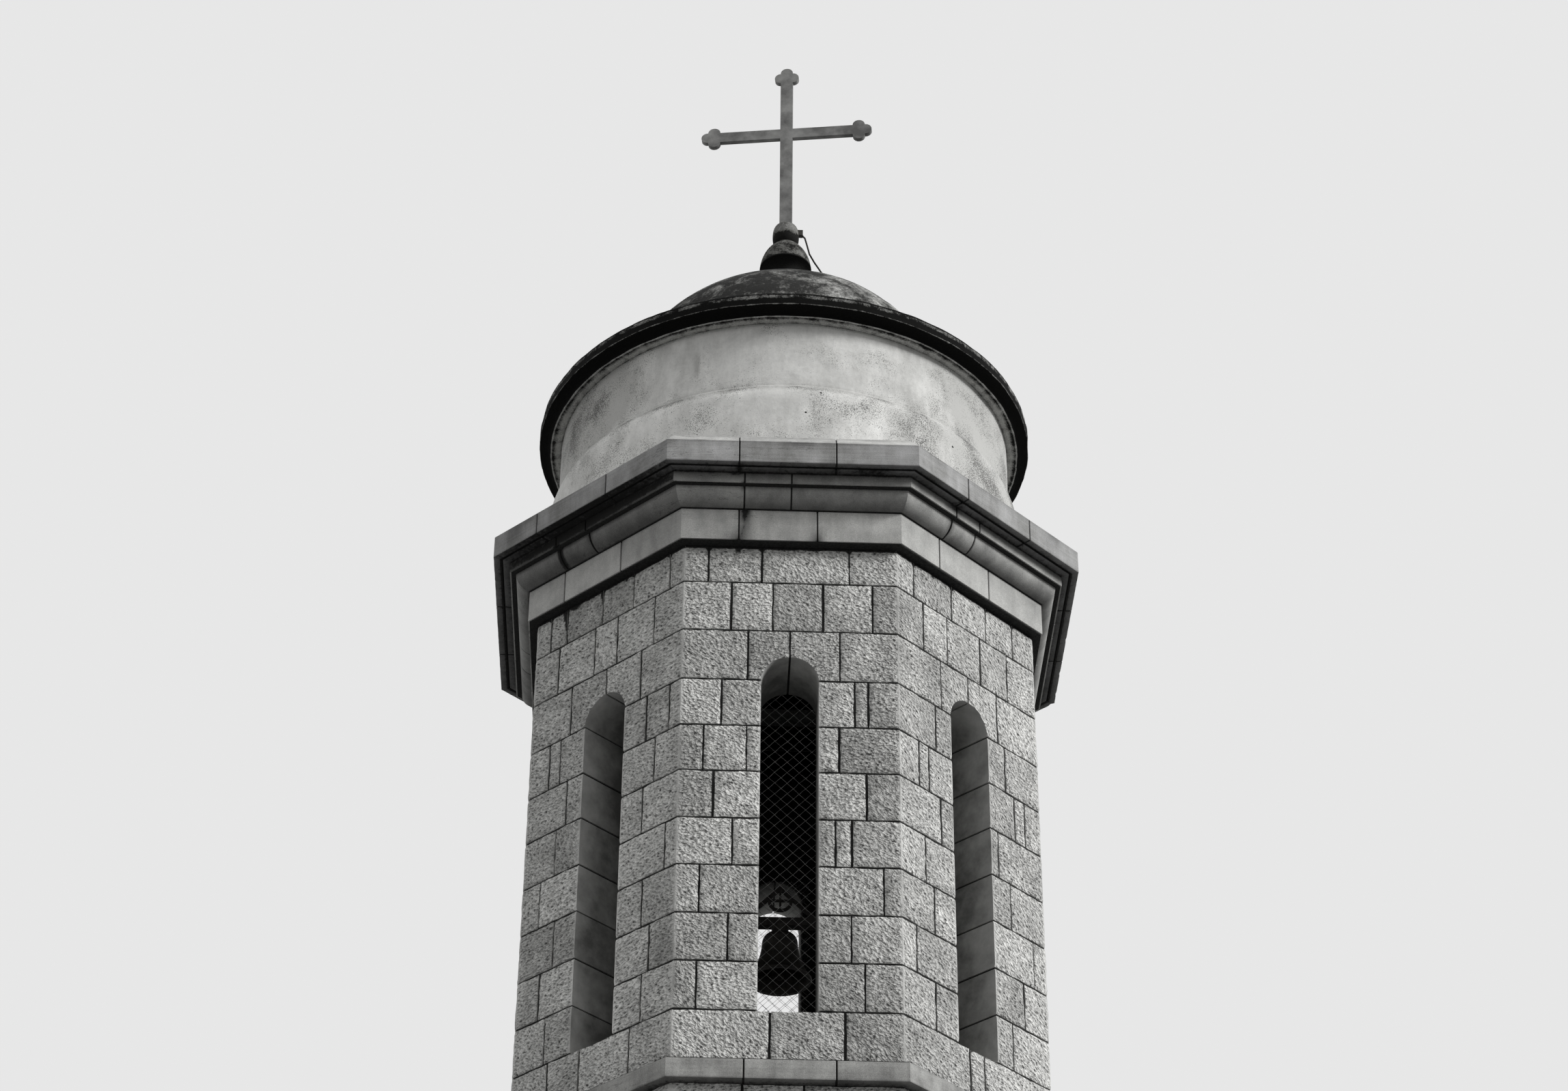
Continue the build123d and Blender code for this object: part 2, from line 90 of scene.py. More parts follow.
def dressed_limestone(name, light, dark, beds=0.25):
    """Limestone dressed smooth: sandy grain, faint level beds, hair cracks, rain streaks, and ragged soot that also
    carries painted shade.
    """
    material, tree, place = new_material(name)
    cloud = add(tree, "TexNoise", {"Scale": 4.0, "Detail": 9.0, "Roughness": 0.66}, {"Vector": place})
    bedding = add(tree, "Mapping", {"Scale": (1.6, 1.6, 75.0)}, {"Vector": place})
    bed = add(tree, "TexNoise", {"Scale": 1.0, "Detail": 5.0, "Roughness": 0.6}, {"Vector": bedding})
    falling = add(tree, "Mapping", {"Scale": (9.0, 9.0, 1.6)}, {"Vector": place})
    streak = add(tree, "TexNoise", {"Scale": 1.0, "Detail": 7.0, "Roughness": 0.65}, {"Vector": falling})
    tone = add(tree, "Attribute", attribute_name="tone").outputs["Fac"]
    value = cloud
    for share, part in ((0.16, tone), (beds, bed), (0.6, streak)):
        value = add(tree, "Math", {1: share}, {0: part, 2: value}, operation="MULTIPLY_ADD")
    value = add(tree, "MapRange", {"From Min": 0.68 + beds / 2, "From Max": 1.06 + beds / 2}, {"Value": value})
    grey = add(tree, "ValToRGB", links={"Fac": value}, stops=[(0.0, dark), (1.0, light)])
    # the grain is about 5 mm across
    grain = add(tree, "TexNoise", {"Scale": 190.0, "Detail": 4.0, "Roughness": 0.75}, {"Vector": place})
    sandy = add(tree, "MapRange", {"From Min": 0.3, "From Max": 0.7, "To Min": 0.72, "To Max": 1.24}, {"Value": grain})
    stone = add(tree, "VectorMath", links={0: grey, 1: sandy}, operation="MULTIPLY")
    # hair cracks follow the beds where the stone is weak
    layers = add(tree, "Mapping", {"Scale": (1.1, 1.1, 9.0), "Rotation": (0.05, 0.08, 0.0)}, {"Vector": place})
    split = add(tree, "TexNoise", {"Scale": 1.0, "Detail": 7.0, "Roughness": 0.6}, {"Vector": layers})
    split = add(tree, "Math", {1: 0.5, 2: 0.003}, {0: split}, operation="COMPARE")
    weak = add(tree, "TexNoise", {"Scale": 1.2, "Detail": 2.0}, {"Vector": place})
    weak = add(tree, "MapRange", {"From Min": 0.57, "From Max": 0.6, "To Max": 0.5}, {"Value": weak})
    crack = add(tree, "Math", links={0: split, 1: weak}, operation="MULTIPLY")
    cracked = add(tree, "Mix", {"B": linear("#2e2e2d")}, {"Factor": crack, "A": stone}, data_type="RGBA")
    grime = add(tree, "Attribute", attribute_name="grime").outputs["Fac"]
    # dirt and painted shade first dim the stone evenly, and where they are thick they end in ragged black; a value
    # below zero brightens the stone instead, as painted light
    dimming_and_painted_light = add(tree, "MapRange", {"From Min": -0.4, "From Max": 0.85, "To Min": 1.37, "To Max": 0.22},
               {"Value": grime})
    dirtied_and_shaded = add(tree, "VectorMath", links={0: cracked, 1: dimming_and_painted_light}, operation="MULTIPLY")
    ragged = add(tree, "TexNoise", {"Scale": 34.0, "Detail": 9.0, "Roughness": 0.78}, {"Vector": place})
    black = add(tree, "Math", {1: 1.1}, {0: ragged, 2: grime}, operation="MULTIPLY_ADD")
    ragged_black = add(tree, "MapRange", {"From Min": 1.3, "From Max": 1.5, "To Max": 0.95}, {"Value": black})
    colour = add(tree, "Mix", {"B": linear("#1b1b1a")}, {"Factor": ragged_black, "A": dirtied_and_shaded}, data_type="RGBA")
    relief = add(tree, "Bump", {"Strength": 0.5, "Distance": 0.003}, {"Height": grain})
    surface(tree, colour, relief, roughness=0.88, ior=1.3)
    return material


def mottled(name, noise, dark, light, roughness, metallic=0.0, ior=1.5, relief=None, stretch=None):
    """A material with one pattern of noise, from a dark tone to a light one, which may be felt as relief too."""
    material, tree, place = new_material(name)
    if stretch:
        place = add(tree, "Mapping", {"Scale": stretch}, {"Vector": place})
    pattern = add(tree, "TexNoise", noise, {"Vector": place})
    tint = add(tree, "ValToRGB", links={"Fac": pattern}, stops=[dark, light])
    if relief:
        relief = add(tree, "Bump", {"Strength": relief[0], "Distance": relief[1]}, {"Height": pattern})
    surface(tree, tint, relief, roughness, metallic, ior)
    return material


def piece(name, points, faces, material, slot=None, stands_for=(), body="tower", sharp=0, **values):
    """A mesh in millimetres that rides on a body and may stand for CAD nodes. Its points carry the extra values.
    Edges that turn by less than the angle sharp, in degrees, are shaded smooth."""
    mesh = bpy.data.meshes.new(name)
    mesh.from_pydata((np.asarray(points, float) / 1000).tolist(), [], faces)
    shape = bmesh.new()
    shape.from_mesh(mesh)
    bmesh.ops.recalc_face_normals(shape, faces=shape.faces)
    for line in shape.edges:
        line.smooth = len(line.link_faces) == 2 and line.calc_face_angle(0) < math.radians(sharp)
    for face in shape.faces:
        face.smooth = sharp > 0
    shape.to_mesh(mesh)
    shape.free()
    mesh.materials.append(material)
    for key, value in values.items():
        value = np.asarray(value, np.float32)
        layer = mesh.attributes.new(key, "FLOAT" if value.ndim == 1 else "FLOAT_VECTOR", "POINT")
        layer.data.foreach_set("value" if value.ndim == 1 else "vector", value.ravel())
    made = bpy.data.objects.new(name, mesh)
    bpy.context.scene.collection.objects.link(made)
    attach(made, body)
    if stands_for:
        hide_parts(*stands_for)
    return made


def on_side(side, along, out, height):
    """Points on one side of the octagon: distance along it from its middle, distance out, and height."""
    turn = math.radians(-90 + 45 * side)
    x = np.cos(turn) * np.asarray(out) - np.sin(turn) * np.asarray(along)
    y = np.sin(turn) * np.asarray(out) + np.cos(turn) * np.asarray(along)
    return np.stack(np.broadcast_arrays(x, y, np.asarray(height, float)), -1)


def stains_and_painted_light(dirt_and_shade, marks, side, along, height, out):
    """Soot and painted shade on a course, with marks by side, place along it, height, half width, half height,
    strength and utmost reach. A mark of negative strength lightens the course, as painted light. What the wall hides
    takes no mark."""
    hidden = 1480
    for at, middle, level, width, depth, strength, utmost in marks:
        if at == side:
            near = ((along - middle) / width) ** 2 + ((height - level) / depth) ** 2
            mark = strength * np.exp(-near) * (out > hidden) * (out < utmost)
            dirt_and_shade = np.maximum(dirt_and_shade, mark) if strength > 0 else dirt_and_shade + mark
    return dirt_and_shade


def course(name, node, profile, joints, gap, material, seed, beds=(0, 0), marks=()):
    """A moulded course of blocks on a mortar bed. The profile lists distance out, height and a share of soot and
    painted shade, and its first point is the lower arris, which is nicked here and there. Blocks end at the joints and
    at the mitred corners.
    The bed joints below and above it are left open by so many millimetres."""
    out, height, soot_and_shade = (np.array([point[i] for point in profile], float) for i in range(3))
    count, worn, step_length, set_back, bed_back = len(profile), 3, 26, 9, 3.5
    foot, head = height.min(), height.max()
    open_foot, open_head = (height == foot) & (beds[0] > 0), (height == head) & (beds[1] > 0)
    core_height = height + bed_back * np.where(height > height.mean(), -1, 1)
    core_height = np.where(open_foot | open_head, height, core_height)
    height = np.where(height == foot, height + beds[0], np.where(height == head, height - beds[1], height))
    eased_out = out + worn * np.sign(out.mean() - out)
    eased_height = height + worn * np.sign(height.mean() - height)
    arris = np.arange(count) == 0
    chance = np.random.default_rng(seed)
    points, faces, tone, grime = [], [], [], []
    for side in range(SIDES):
        ends = [None] + list(joints[side]) + [None]
        for left, right in zip(ends, ends[1:]):
            start = -out * HALF_SIDE if left is None else np.full(count, left + gap / 2 + worn)
            stop = out * HALF_SIDE if right is None else np.full(count, right - gap / 2 - worn)
            rings = [] if left is None else [(start - worn, eased_out, eased_height)]
            steps = max(2, int((stop - start).max() / step_length))
            for step in range(steps + 1):
                nick = (chance.uniform(0, 1) + 5 * (chance.uniform() > 0.98)) * (0 < step < steps)
                rings.append((start + (stop - start) * step / steps, out - nick * arris, height + 0.7 * nick * arris))
            if right is not None:
                rings.append((stop + worn, eased_out, eased_height))
            base = len(points)
            for place, ring in enumerate(rings):
                points.extend(on_side(side, *ring).tolist())
                at_joint = 0.25 * (place < 1 and left is not None or place > len(rings) - 2 and right is not None)
                grime.extend((stains_and_painted_light(soot_and_shade, marks, side, ring[0], ring[2], out) + at_joint).tolist())
            tone.extend([chance.uniform(0, 1)] * (count * len(rings)))
            for r in range(len(rings) - 1):
                for i in range(count):
                    a, b = base + r * count + i, base + r * count + (i + 1) % count
                    faces.append((a, b, b + count, a + count))
            faces.append(tuple(base + i for i in range(count)))
            faces.append(tuple(base + (len(rings) - 1) * count + i for i in range(count)))
    piece(name + "_blocks", points, faces, material, "dressed_limestone", [node], sharp=25, tone=tone, grime=grime)
    core_out = np.where(out > out.min() + 1, out - set_back, out)
    points, faces = [], []
    for side in range(SIDES):
        points.extend(on_side(side, -core_out * HALF_SIDE, core_out, core_height).tolist())
    for a in range(SIDES * count):
        b = a - a % count + (a + 1) % count
        faces.append((a, b, (b + count) % len(points), (a + count) % len(points)))
    piece(name + "_mortar", points, faces, joint_mortar, "dressed_limestone")


# old lime mortar, set back in the joints, sandy and darkened by dirt
joint_mortar = mottled("lime mortar, weathered dark", {"Scale": 90.0, "Detail": 5.0}, (0.2, "#0d0d0c"),
                       (0.9, "#3a3a39"), 0.95, ior=1.3, relief=(0.6, 0.003))
base_stone = dressed_limestone("dressed limestone, base", "#a8a8a5", "#6f6f6c")
BASE_TOP = 150
base_profile = [(1580, 0, 0.3), (1580, 70, 0.1), (1580, 110, 0), (1540, BASE_TOP, 0), (700, BASE_TOP, 0), (700, 0, 0)]
base_joints = [(-330, 260), (-180, 390), (0,), (-360, 130)] * 2
course("base_course", "base_course", base_profile, base_joints, 8, base_stone, 1)

# Walls
# Ashlar in courses about 300 mm high, pecked over with a point, with narrow smooth margins at the arrises.
# Each side's stones are laid on a mortar core, and the stones beside an opening run through the wall.
WALL_FACE = 1500
INNER_FACE = 1100
SIDE_NAMES = ["front", "front_right", "right", "back_right", "back", "back_left", "left", "front_left"]
COURSE_TOPS = [313, 608, 903, 1205, 1506, 1812, 2113, 2423, 2761, 3096, 3350]
SHAFT_COURSES = 29
STRING_TOP = 9000
BELFRY_TOP = 12350
STONE_GAP = 12
FACING_DEPTH = 70
THROUGH_DEPTH = 396
# a stone's worn edges stand this far behind its face, and the mortar this far at the joints and at a sill
ARRIS_BACK = 4
CORE_BACK, SILL_BACK = 9, 7
# lengths of the stones that the photograph doesn't show; the last two are the least at a corner and at a jamb
SHORTEST_STONE, LONGEST_STONE, CORNER_STONE, JAMB_STONE = 230, 430, 170, 55


def hammered_limestone():
    """Limestone faced with a point hammer: short strokes leave ridges that catch the light and pits that hold dirt;
    the colour also paints the ridges lighter and the pits darker, as painted light and shade.
    """
    material, tree, place = new_material("point-hammered limestone")
    # tone holds each stone's own tone, and on the sides of stones in an opening a painted shade that darkens inwards
    tone = add(tree, "Attribute", attribute_name="tone").outputs["Fac"]
    worked = add(tree, "Attribute", attribute_name="worked").outputs["Fac"]
    grime = add(tree, "Attribute", attribute_name="grime").outputs["Fac"]
    lay = add(tree, "Attribute", attribute_name="lay").outputs["Vector"]
    cloud = add(tree, "TexNoise", {"Scale": 5.0, "Detail": 8.0, "Roughness": 0.65}, {"Vector": place})
    value = add(tree, "Math", {1: 0.26}, {0: tone, 2: cloud}, operation="MULTIPLY_ADD")
    grey = add(tree, "ValToRGB", links={"Fac": value}, stops=[(0.1, "#6e6e6c"), (0.85, "#e0e0dd")])
    # the point leaves pits about 20 mm apart, drawn out along its strokes, with sharp ridges between them
    stroke = add(tree, "Mapping", {"Scale": (0.023, 0.016, 1.0)}, {"Vector": lay}, vector_type="TEXTURE")
    ripple = add(tree, "TexNoise", {"Scale": 1.1, "Detail": 1.5, "Roughness": 0.5}, {"Vector": stroke})
    bent = add(tree, "VectorMath", {1: (1.6, 1.6, 1.6)}, {0: ripple.outputs["Color"], 2: stroke},
               operation="MULTIPLY_ADD")
    pecks = add(tree, "TexVoronoi", {"Scale": 1.0}, {"Vector": bent}, feature="F1")
    crumb = add(tree, "TexNoise", {"Scale": 70.0, "Detail": 2.0, "Roughness": 0.5}, {"Vector": place})
    field = add(tree, "Math", {1: 0.5}, {0: pecks, 2: ripple}, operation="MULTIPLY_ADD")
    field = add(tree, "Math", {1: 0.3}, {0: crumb, 2: field}, operation="MULTIPLY_ADD")
    field = add(tree, "Math", {1: -0.91}, {0: field}, operation="ADD")
    depth = add(tree, "Math", links={0: field, 1: worked}, operation="MULTIPLY")
    relief = add(tree, "Bump", {"Strength": 1.0, "Distance": 0.026}, {"Height": depth})
    # the relief's height also sets the colour: ridges painted lighter and hollows darker, as painted light and painted
    # shade
    painted_relief_tone = add(tree, "MapRange", {"From Min": -0.2, "From Max": 0.2, "To Min": 0.6, "To Max": 1.24}, {"Value": depth})
    painted_relief_colour = add(tree, "VectorMath", links={0: grey, 1: painted_relief_tone}, operation="MULTIPLY")
    # the deepest pits go near black, partly dirt and partly painted shade
    pit = add(tree, "MapRange", {"From Min": -0.22, "From Max": -0.3, "To Max": 0.8}, {"Value": depth})
    pitted = add(tree, "Mix", {"B": linear("#2c2c2b")}, {"Factor": pit, "A": painted_relief_colour}, data_type="RGBA")
    ragged = add(tree, "TexNoise", {"Scale": 26.0, "Detail": 9.0, "Roughness": 0.78}, {"Vector": place})
    black = add(tree, "Math", links={0: ragged, 1: grime}, operation="ADD")
    ragged_black = add(tree, "MapRange", {"From Min": 0.86, "From Max": 1.05, "To Max": 0.96}, {"Value": black})
    colour = add(tree, "Mix", {"B": linear("#1c1c1b")}, {"Factor": ragged_black, "A": pitted}, data_type="RGBA")
    surface(tree, colour, relief, roughness=0.92, ior=1.3)
    return material


def lumps(x, y, size, seed):
    """Smooth random heights from 0 to 1, with lumps of one size in millimetres."""
    x, y = x / size, y / size
    left, low = np.floor(x), np.floor(y)
    fx, fy = x - left, y - low
    fx, fy = fx * fx * (3 - 2 * fx), fy * fy * (3 - 2 * fy)

    def corner(i, j):
        value = np.sin((left + i) * 127.1 + (low + j) * 311.7 + seed * 74.7) * 43758.5453
        return value - np.floor(value)

    low_row = corner(0, 0) * (1 - fx) + corner(1, 0) * fx
    high_row = corner(0, 1) * (1 - fx) + corner(1, 1) * fx
    return low_row * (1 - fy) + high_row * fy


def wall_grime(side, along, height):
    """Soot on the wall: a fringe under the bed course, and drips below some joints and at some arrises."""
    grime = np.clip(0.9 - (BELFRY_TOP - height) / 40, 0, 1)
    for at, middle, width, top, length in soot_drips:
        if at == side:
            fall = np.clip((top - height) / length, 0, 1)
            drip = np.clip(1 - np.abs(along - middle) / width, 0, 1) * (1 - fall) * (height < top + 5)
            grime = np.maximum(grime, drip)
    return grime


class StoneSide:
    """Collects the stones of one side of the wall as a single mesh."""

    def __init__(self, side, cell):
        self.side, self.cell = side, cell
        self.points, self.faces, self.tone, self.worked, self.grime, self.lay = [], [], [], [], [], []
        self.chance = np.random.default_rng(40 + side)

    def block(self, along, height, free, back, seed):
        """One stone from a grid of face points. free marks the edges at a joint: left, right, bottom, top."""
        rows, cols = along.shape
        i, j = np.meshgrid(np.arange(rows), np.arange(cols), indexing="ij")
        inward = np.minimum(np.minimum(i, rows - 1 - i) / (rows - 1), np.minimum(j, cols - 1 - j) / (cols - 1)) * 2
        rims = (j == 0, j == cols - 1, i == 0, i == rows - 1)
        wander = (lumps(along, height, 45, seed + 9) - 0.5) * 5
        edge, shift_along, shift_height = (np.zeros(along.shape) for _ in range(3))
        for flag, rim, shift in zip(free, rims, (shift_along, shift_along, shift_height, shift_height)):
            if flag:
                edge[rim], shift[rim] = 1.0, wander[rim]
        # swellings 70 mm across and hollows 27 mm across, a few millimetres high
        rough = lumps(along, height, 70, seed) * 5 + lumps(along, height, 27, seed + 3) * 3.5 - 3
        margin = (rims[0] & (not free[0])) | (rims[1] & (not free[1]))
        field = np.where(margin, 0.0, 1.0)
        out = WALL_FACE - 1 + field * (rough + 3.5 * np.sqrt(inward)) - ARRIS_BACK * edge
        along, height = along + shift_along, height + shift_height
        base = len(self.points)
        self.points.extend(on_side(self.side, along, out, height).reshape(-1, 3).tolist())
        shade = self.chance.uniform(0, 1)
        turn = self.chance.uniform(-0.75, 0.15)
        along_stroke = math.cos(turn) * along + math.sin(turn) * height
        over_stroke = -math.sin(turn) * along + math.cos(turn) * height
        lay = np.stack([along_stroke, over_stroke, np.full(along.shape, float(seed))], -1) / 1000
        grime = wall_grime(self.side, along, height) + 0.4 * edge
        self.tone.extend([shade] * (rows * cols))
        self.worked.extend(field.reshape(-1).tolist())
        self.grime.extend(grime.reshape(-1).tolist())
        self.lay.extend(lay.reshape(-1, 3).tolist())
        for r in range(rows - 1):
            for c in range(cols - 1):
                a = base + r * cols + c
                self.faces.append((a, a + 1, a + cols + 1, a + cols))
        loop = list(range(cols)) + [r * cols + cols - 1 for r in range(1, rows)]
        loop += [(rows - 1) * cols + c for c in range(cols - 2, -1, -1)] + [r * cols for r in range(rows - 2, 0, -1)]
        flat_along, flat_height = along.reshape(-1)[loop], height.reshape(-1)[loop]
        deep = WALL_FACE - back
        limit = deep * HALF_SIDE
        start = len(self.points)
        near = on_side(self.side, flat_along, out.reshape(-1)[loop], flat_height)
        far = on_side(self.side, np.clip(flat_along, -limit, limit), np.full(len(loop), float(deep)), flat_height)
        self.points.extend(near.tolist() + far.tolist())
        # the side of a stone in an opening is cut smooth, and its tone is painted darker towards the inside, as
        # painted shade
        through = back > FACING_DEPTH
        near_shaded_tone, far_shaded_tone = (0.4 * shade - 0.2, 0.4 * shade - 1.9) if through else (shade, shade)
        self.tone.extend([near_shaded_tone] * len(loop) + [far_shaded_tone] * len(loop))
        self.worked.extend([0.0] * (2 * len(loop)))
        self.grime.extend([0.1] * (2 * len(loop)))
        self.lay.extend([[0.0, 0.0, 0.0]] * (2 * len(loop)))
        n = len(loop)
        for k in range(n):
            m = (k + 1) % n
            self.faces.append((start + m, start + k, start + n + k, start + n + m))
        self.faces.append(tuple(start + n + k for k in reversed(range(n))))

    def stone(self, left, right, bottom, top, left_free, right_free, back=FACING_DEPTH):
        """A squared stone between two upright edges. Edges at the arris or at an opening keep no joint."""
        gap = STONE_GAP / 2
        a = left + self.chance.uniform(3, 9) if left_free else left
        b = right - self.chance.uniform(3, 9) if right_free else right
        cols = max(4, int(round((b - a) / self.cell)) + 1)
        rows = max(4, int(round((top - bottom) / self.cell)) + 1)
        along, height = np.meshgrid(np.linspace(a, b, cols), np.linspace(bottom + gap, top - gap, rows))
        self.block(along, height, (left_free, right_free, True, True), back, self.chance.integers(1, 9999))

    def arch_stone(self, sign, radius, spring, bottom, top, reach, first, last, crown):
        """A stone of an arch's head, curved below, between two angles from the level of its bed."""
        gap = STONE_GAP / 2
        level = bottom + gap
        drop = level - spring
        height_above = top - gap - level
        width = reach - gap
        corner = math.degrees(math.atan2(height_above, width))
        steps = max(6, int((last - first) / 6))
        angles = sorted(set(np.linspace(first, last, steps).tolist() + ([corner] if first < corner < last else [])))
        turn = np.radians(np.array(angles))
        inner = -drop * np.sin(turn) + np.sqrt(radius ** 2 - (drop * np.cos(turn)) ** 2)
        outer = np.minimum(width / np.maximum(np.cos(turn), 1e-6), height_above / np.maximum(np.sin(turn), 1e-6))
        rows = max(5, int(round((outer - inner).mean() / self.cell)) + 1)
        share = np.linspace(0, 1, rows)[:, None]
        ray = inner[None] * (1 - share) + outer[None] * share
        along = sign * ray * np.cos(turn)[None]
        height = level + ray * np.sin(turn)[None]
        if crown:
            along[:, -1] = sign * gap
        if sign > 0:
            along, height = along[:, ::-1], height[:, ::-1]
        self.block(along, height, (True, True, False, True), THROUGH_DEPTH, self.chance.integers(1, 9999))

    def row(self, bottom, top, joints, opening=None):
        """A course of the wall: its joints along the side, and half the width of an opening in it."""
        edge = WALL_FACE * HALF_SIDE
        cuts = sorted(joints)
        runs = [[-edge] + cuts + [edge]]
        if opening:
            runs = [[-edge] + [cut for cut in cuts if cut < 0] + [-opening],
                    [opening] + [cut for cut in cuts if cut > 0] + [edge]]
        for ends in runs:
            for left, right in zip(ends, ends[1:]):
                left_jamb, right_jamb = left == opening, opening and right == -opening
                back = THROUGH_DEPTH if left_jamb or right_jamb else FACING_DEPTH
                self.stone(left, right, bottom, top, left > -edge and not left_jamb,
                           right < edge and not right_jamb, back)

    def finish(self, name, material, stands_for):
        """The mesh of this side's stones."""
        piece(name, self.points, self.faces, material, "rock_faced_limestone", stands_for, sharp=50,
              tone=self.tone, worked=self.worked, grime=self.grime, lay=self.lay)


def wall_core(nodes, side, opening=None):
    """The mortar and rubble behind a side's stones: the wall's own solid, set back at its face and its opening."""
    points, faces = [], []
    turn = math.radians(-90 + 45 * side)
    for node in nodes:
        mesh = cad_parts[node].data
        place = np.array([v.co for v in mesh.vertices], float).reshape(-1, 3) * 1000
        out = place[:, 0] * math.cos(turn) + place[:, 1] * math.sin(turn)
        along = -place[:, 0] * math.sin(turn) + place[:, 1] * math.cos(turn)
        height = place[:, 2].copy()
        mitre = np.abs(along) > out * HALF_SIDE - 1
        out = np.where(out > WALL_FACE - 1, out - CORE_BACK, out)
        if opening:
            half, spring, sill = opening
            away = np.hypot(along, height - spring)
            on_arch = (height > spring + 1) & (np.abs(away - half) < 2)
            scale = np.where(on_arch, (half + CORE_BACK) / np.maximum(away, 1), 1)
            beside = (height <= spring + 1) & (np.abs(np.abs(along) - half) < 2)
            at_sill = beside & (np.abs(height - sill) < 1)
            along = np.where(on_arch, along * scale, along)
            height = np.where(on_arch, spring + (height - spring) * scale, height)
            along = np.where(beside, along + np.sign(along) * CORE_BACK, along)
            height = np.where(at_sill, height - SILL_BACK, height)
        along = np.where(mitre, np.sign(along) * out * HALF_SIDE, along)
        base = len(points)
        points.extend(on_side(side, along, out, height).tolist())
        faces.extend([tuple(base + v for v in p.vertices) for p in mesh.polygons])
    return points, faces


def random_joints(chance, edge, opening):
    """Upright joints of a course that the photograph doesn't show, at irregular lengths."""
    found = []
    start = -edge + chance.uniform(SHORTEST_STONE, LONGEST_STONE)
    while start <= edge - CORNER_STONE:
        if abs(start) >= opening + JAMB_STONE:
            found.append(start)
        start += chance.uniform(SHORTEST_STONE, LONGEST_STONE)
    return found


hammered_stone = hammered_limestone()
WINDOW_HALF = 165
WINDOW_SILL = 310
WINDOW_SPRING = 2415
# the arch's head is cut from this course, counted from the sill course
ARCH_COURSE = 8
# soot below the bed course: side, place along it, half width, level and length
soot_drips = [(7, -379, 45, BELFRY_TOP, 190), (7, -69, 26, BELFRY_TOP, 110), (7, 144, 40, BELFRY_TOP, 75),
              (7, -300, 120, BELFRY_TOP, 80), (0, -308, 40, BELFRY_TOP, 120), (0, 153, 30, BELFRY_TOP, 90),
              (1, -304, 30, BELFRY_TOP, 90), (1, 147, 34, BELFRY_TOP, 70)]
# upright joints that the photograph shows, by side, from the sill's course up
seen_joints = {
    0: [(-97, 308), (-494, 415), (-330, 344), (-490, 525), (-316, 258, 349), (-425, 432), (-485, -244, 280),
        (-390, 370, 444), (-242, 287), (-344, -101, 191, 475), (-482, -166, 341)],
    7: [(-342, -92, 294), (-382, 372), (-447, 422), (-347, 356), (-480, 525), (-370, 337), (-294, 418),
        (-459, -363, 344, 525), (-292, 284), (-420, -113, 77, 382), (-504, -363, -59, 201, 501)],
    1: [(-70, 51), (-349, 303), (-499, 420), (-344, 515), (-411, 330), (-268, 232), (-451, -363, 391, 484),
        (-299, 318), (-244, 260), (-390, -178, 120, 370), (-468, -128, 180, 430)],
}
edge = WALL_FACE * HALF_SIDE
for side, side_name in enumerate(SIDE_NAMES):
    stones = StoneSide(side, cell=18)
    bottoms = [0] + COURSE_TOPS[:-1]
    for index, (low, high) in enumerate(zip(bottoms, COURSE_TOPS)):
        if side in seen_joints:
            joints = list(seen_joints[side][index])
        elif index == ARCH_COURSE:
            joints = [-260 - 20 * (side % 3), 270 + 15 * (side % 2)]
        else:
            joints = random_joints(stones.chance, edge, WINDOW_HALF if 0 < index < ARCH_COURSE else 0)
        bottom, top = STRING_TOP + low, STRING_TOP + high
        if index == ARCH_COURSE:
            left, right = -min(joints), max(joints)
            stones.stone(-edge, -left, bottom, top, left_free=False, right_free=True)
            stones.stone(right, edge, bottom, top, left_free=True, right_free=False)
            for sign, reach in ((-1, left), (1, right)):
                stones.arch_stone(sign, WINDOW_HALF, STRING_TOP + WINDOW_SPRING, bottom, top, reach,
                                  first=0, last=88, crown=True)
        elif index == 0:
            ends = [-edge] + sorted(joints) + [edge]
            for left, right in zip(ends, ends[1:]):
                back = THROUGH_DEPTH if left < WINDOW_HALF and right > -WINDOW_HALF else FACING_DEPTH
                stones.stone(left, right, bottom, top, left > -edge, right < edge, back)
        else:
            stones.row(bottom, top, joints, WINDOW_HALF if index < ARCH_COURSE else None)
    node = "belfry_wall_" + side_name
    stones.finish("belfry_stones_" + side_name, hammered_stone, [node])
    points, faces = wall_core([node], side, (WINDOW_HALF, STRING_TOP + WINDOW_SPRING, STRING_TOP + WINDOW_SILL))
    piece("belfry_core_" + side_name, points, faces, joint_mortar, "rock_faced_limestone")

DOOR_HALF = 350
DOOR_SPRING = 1650
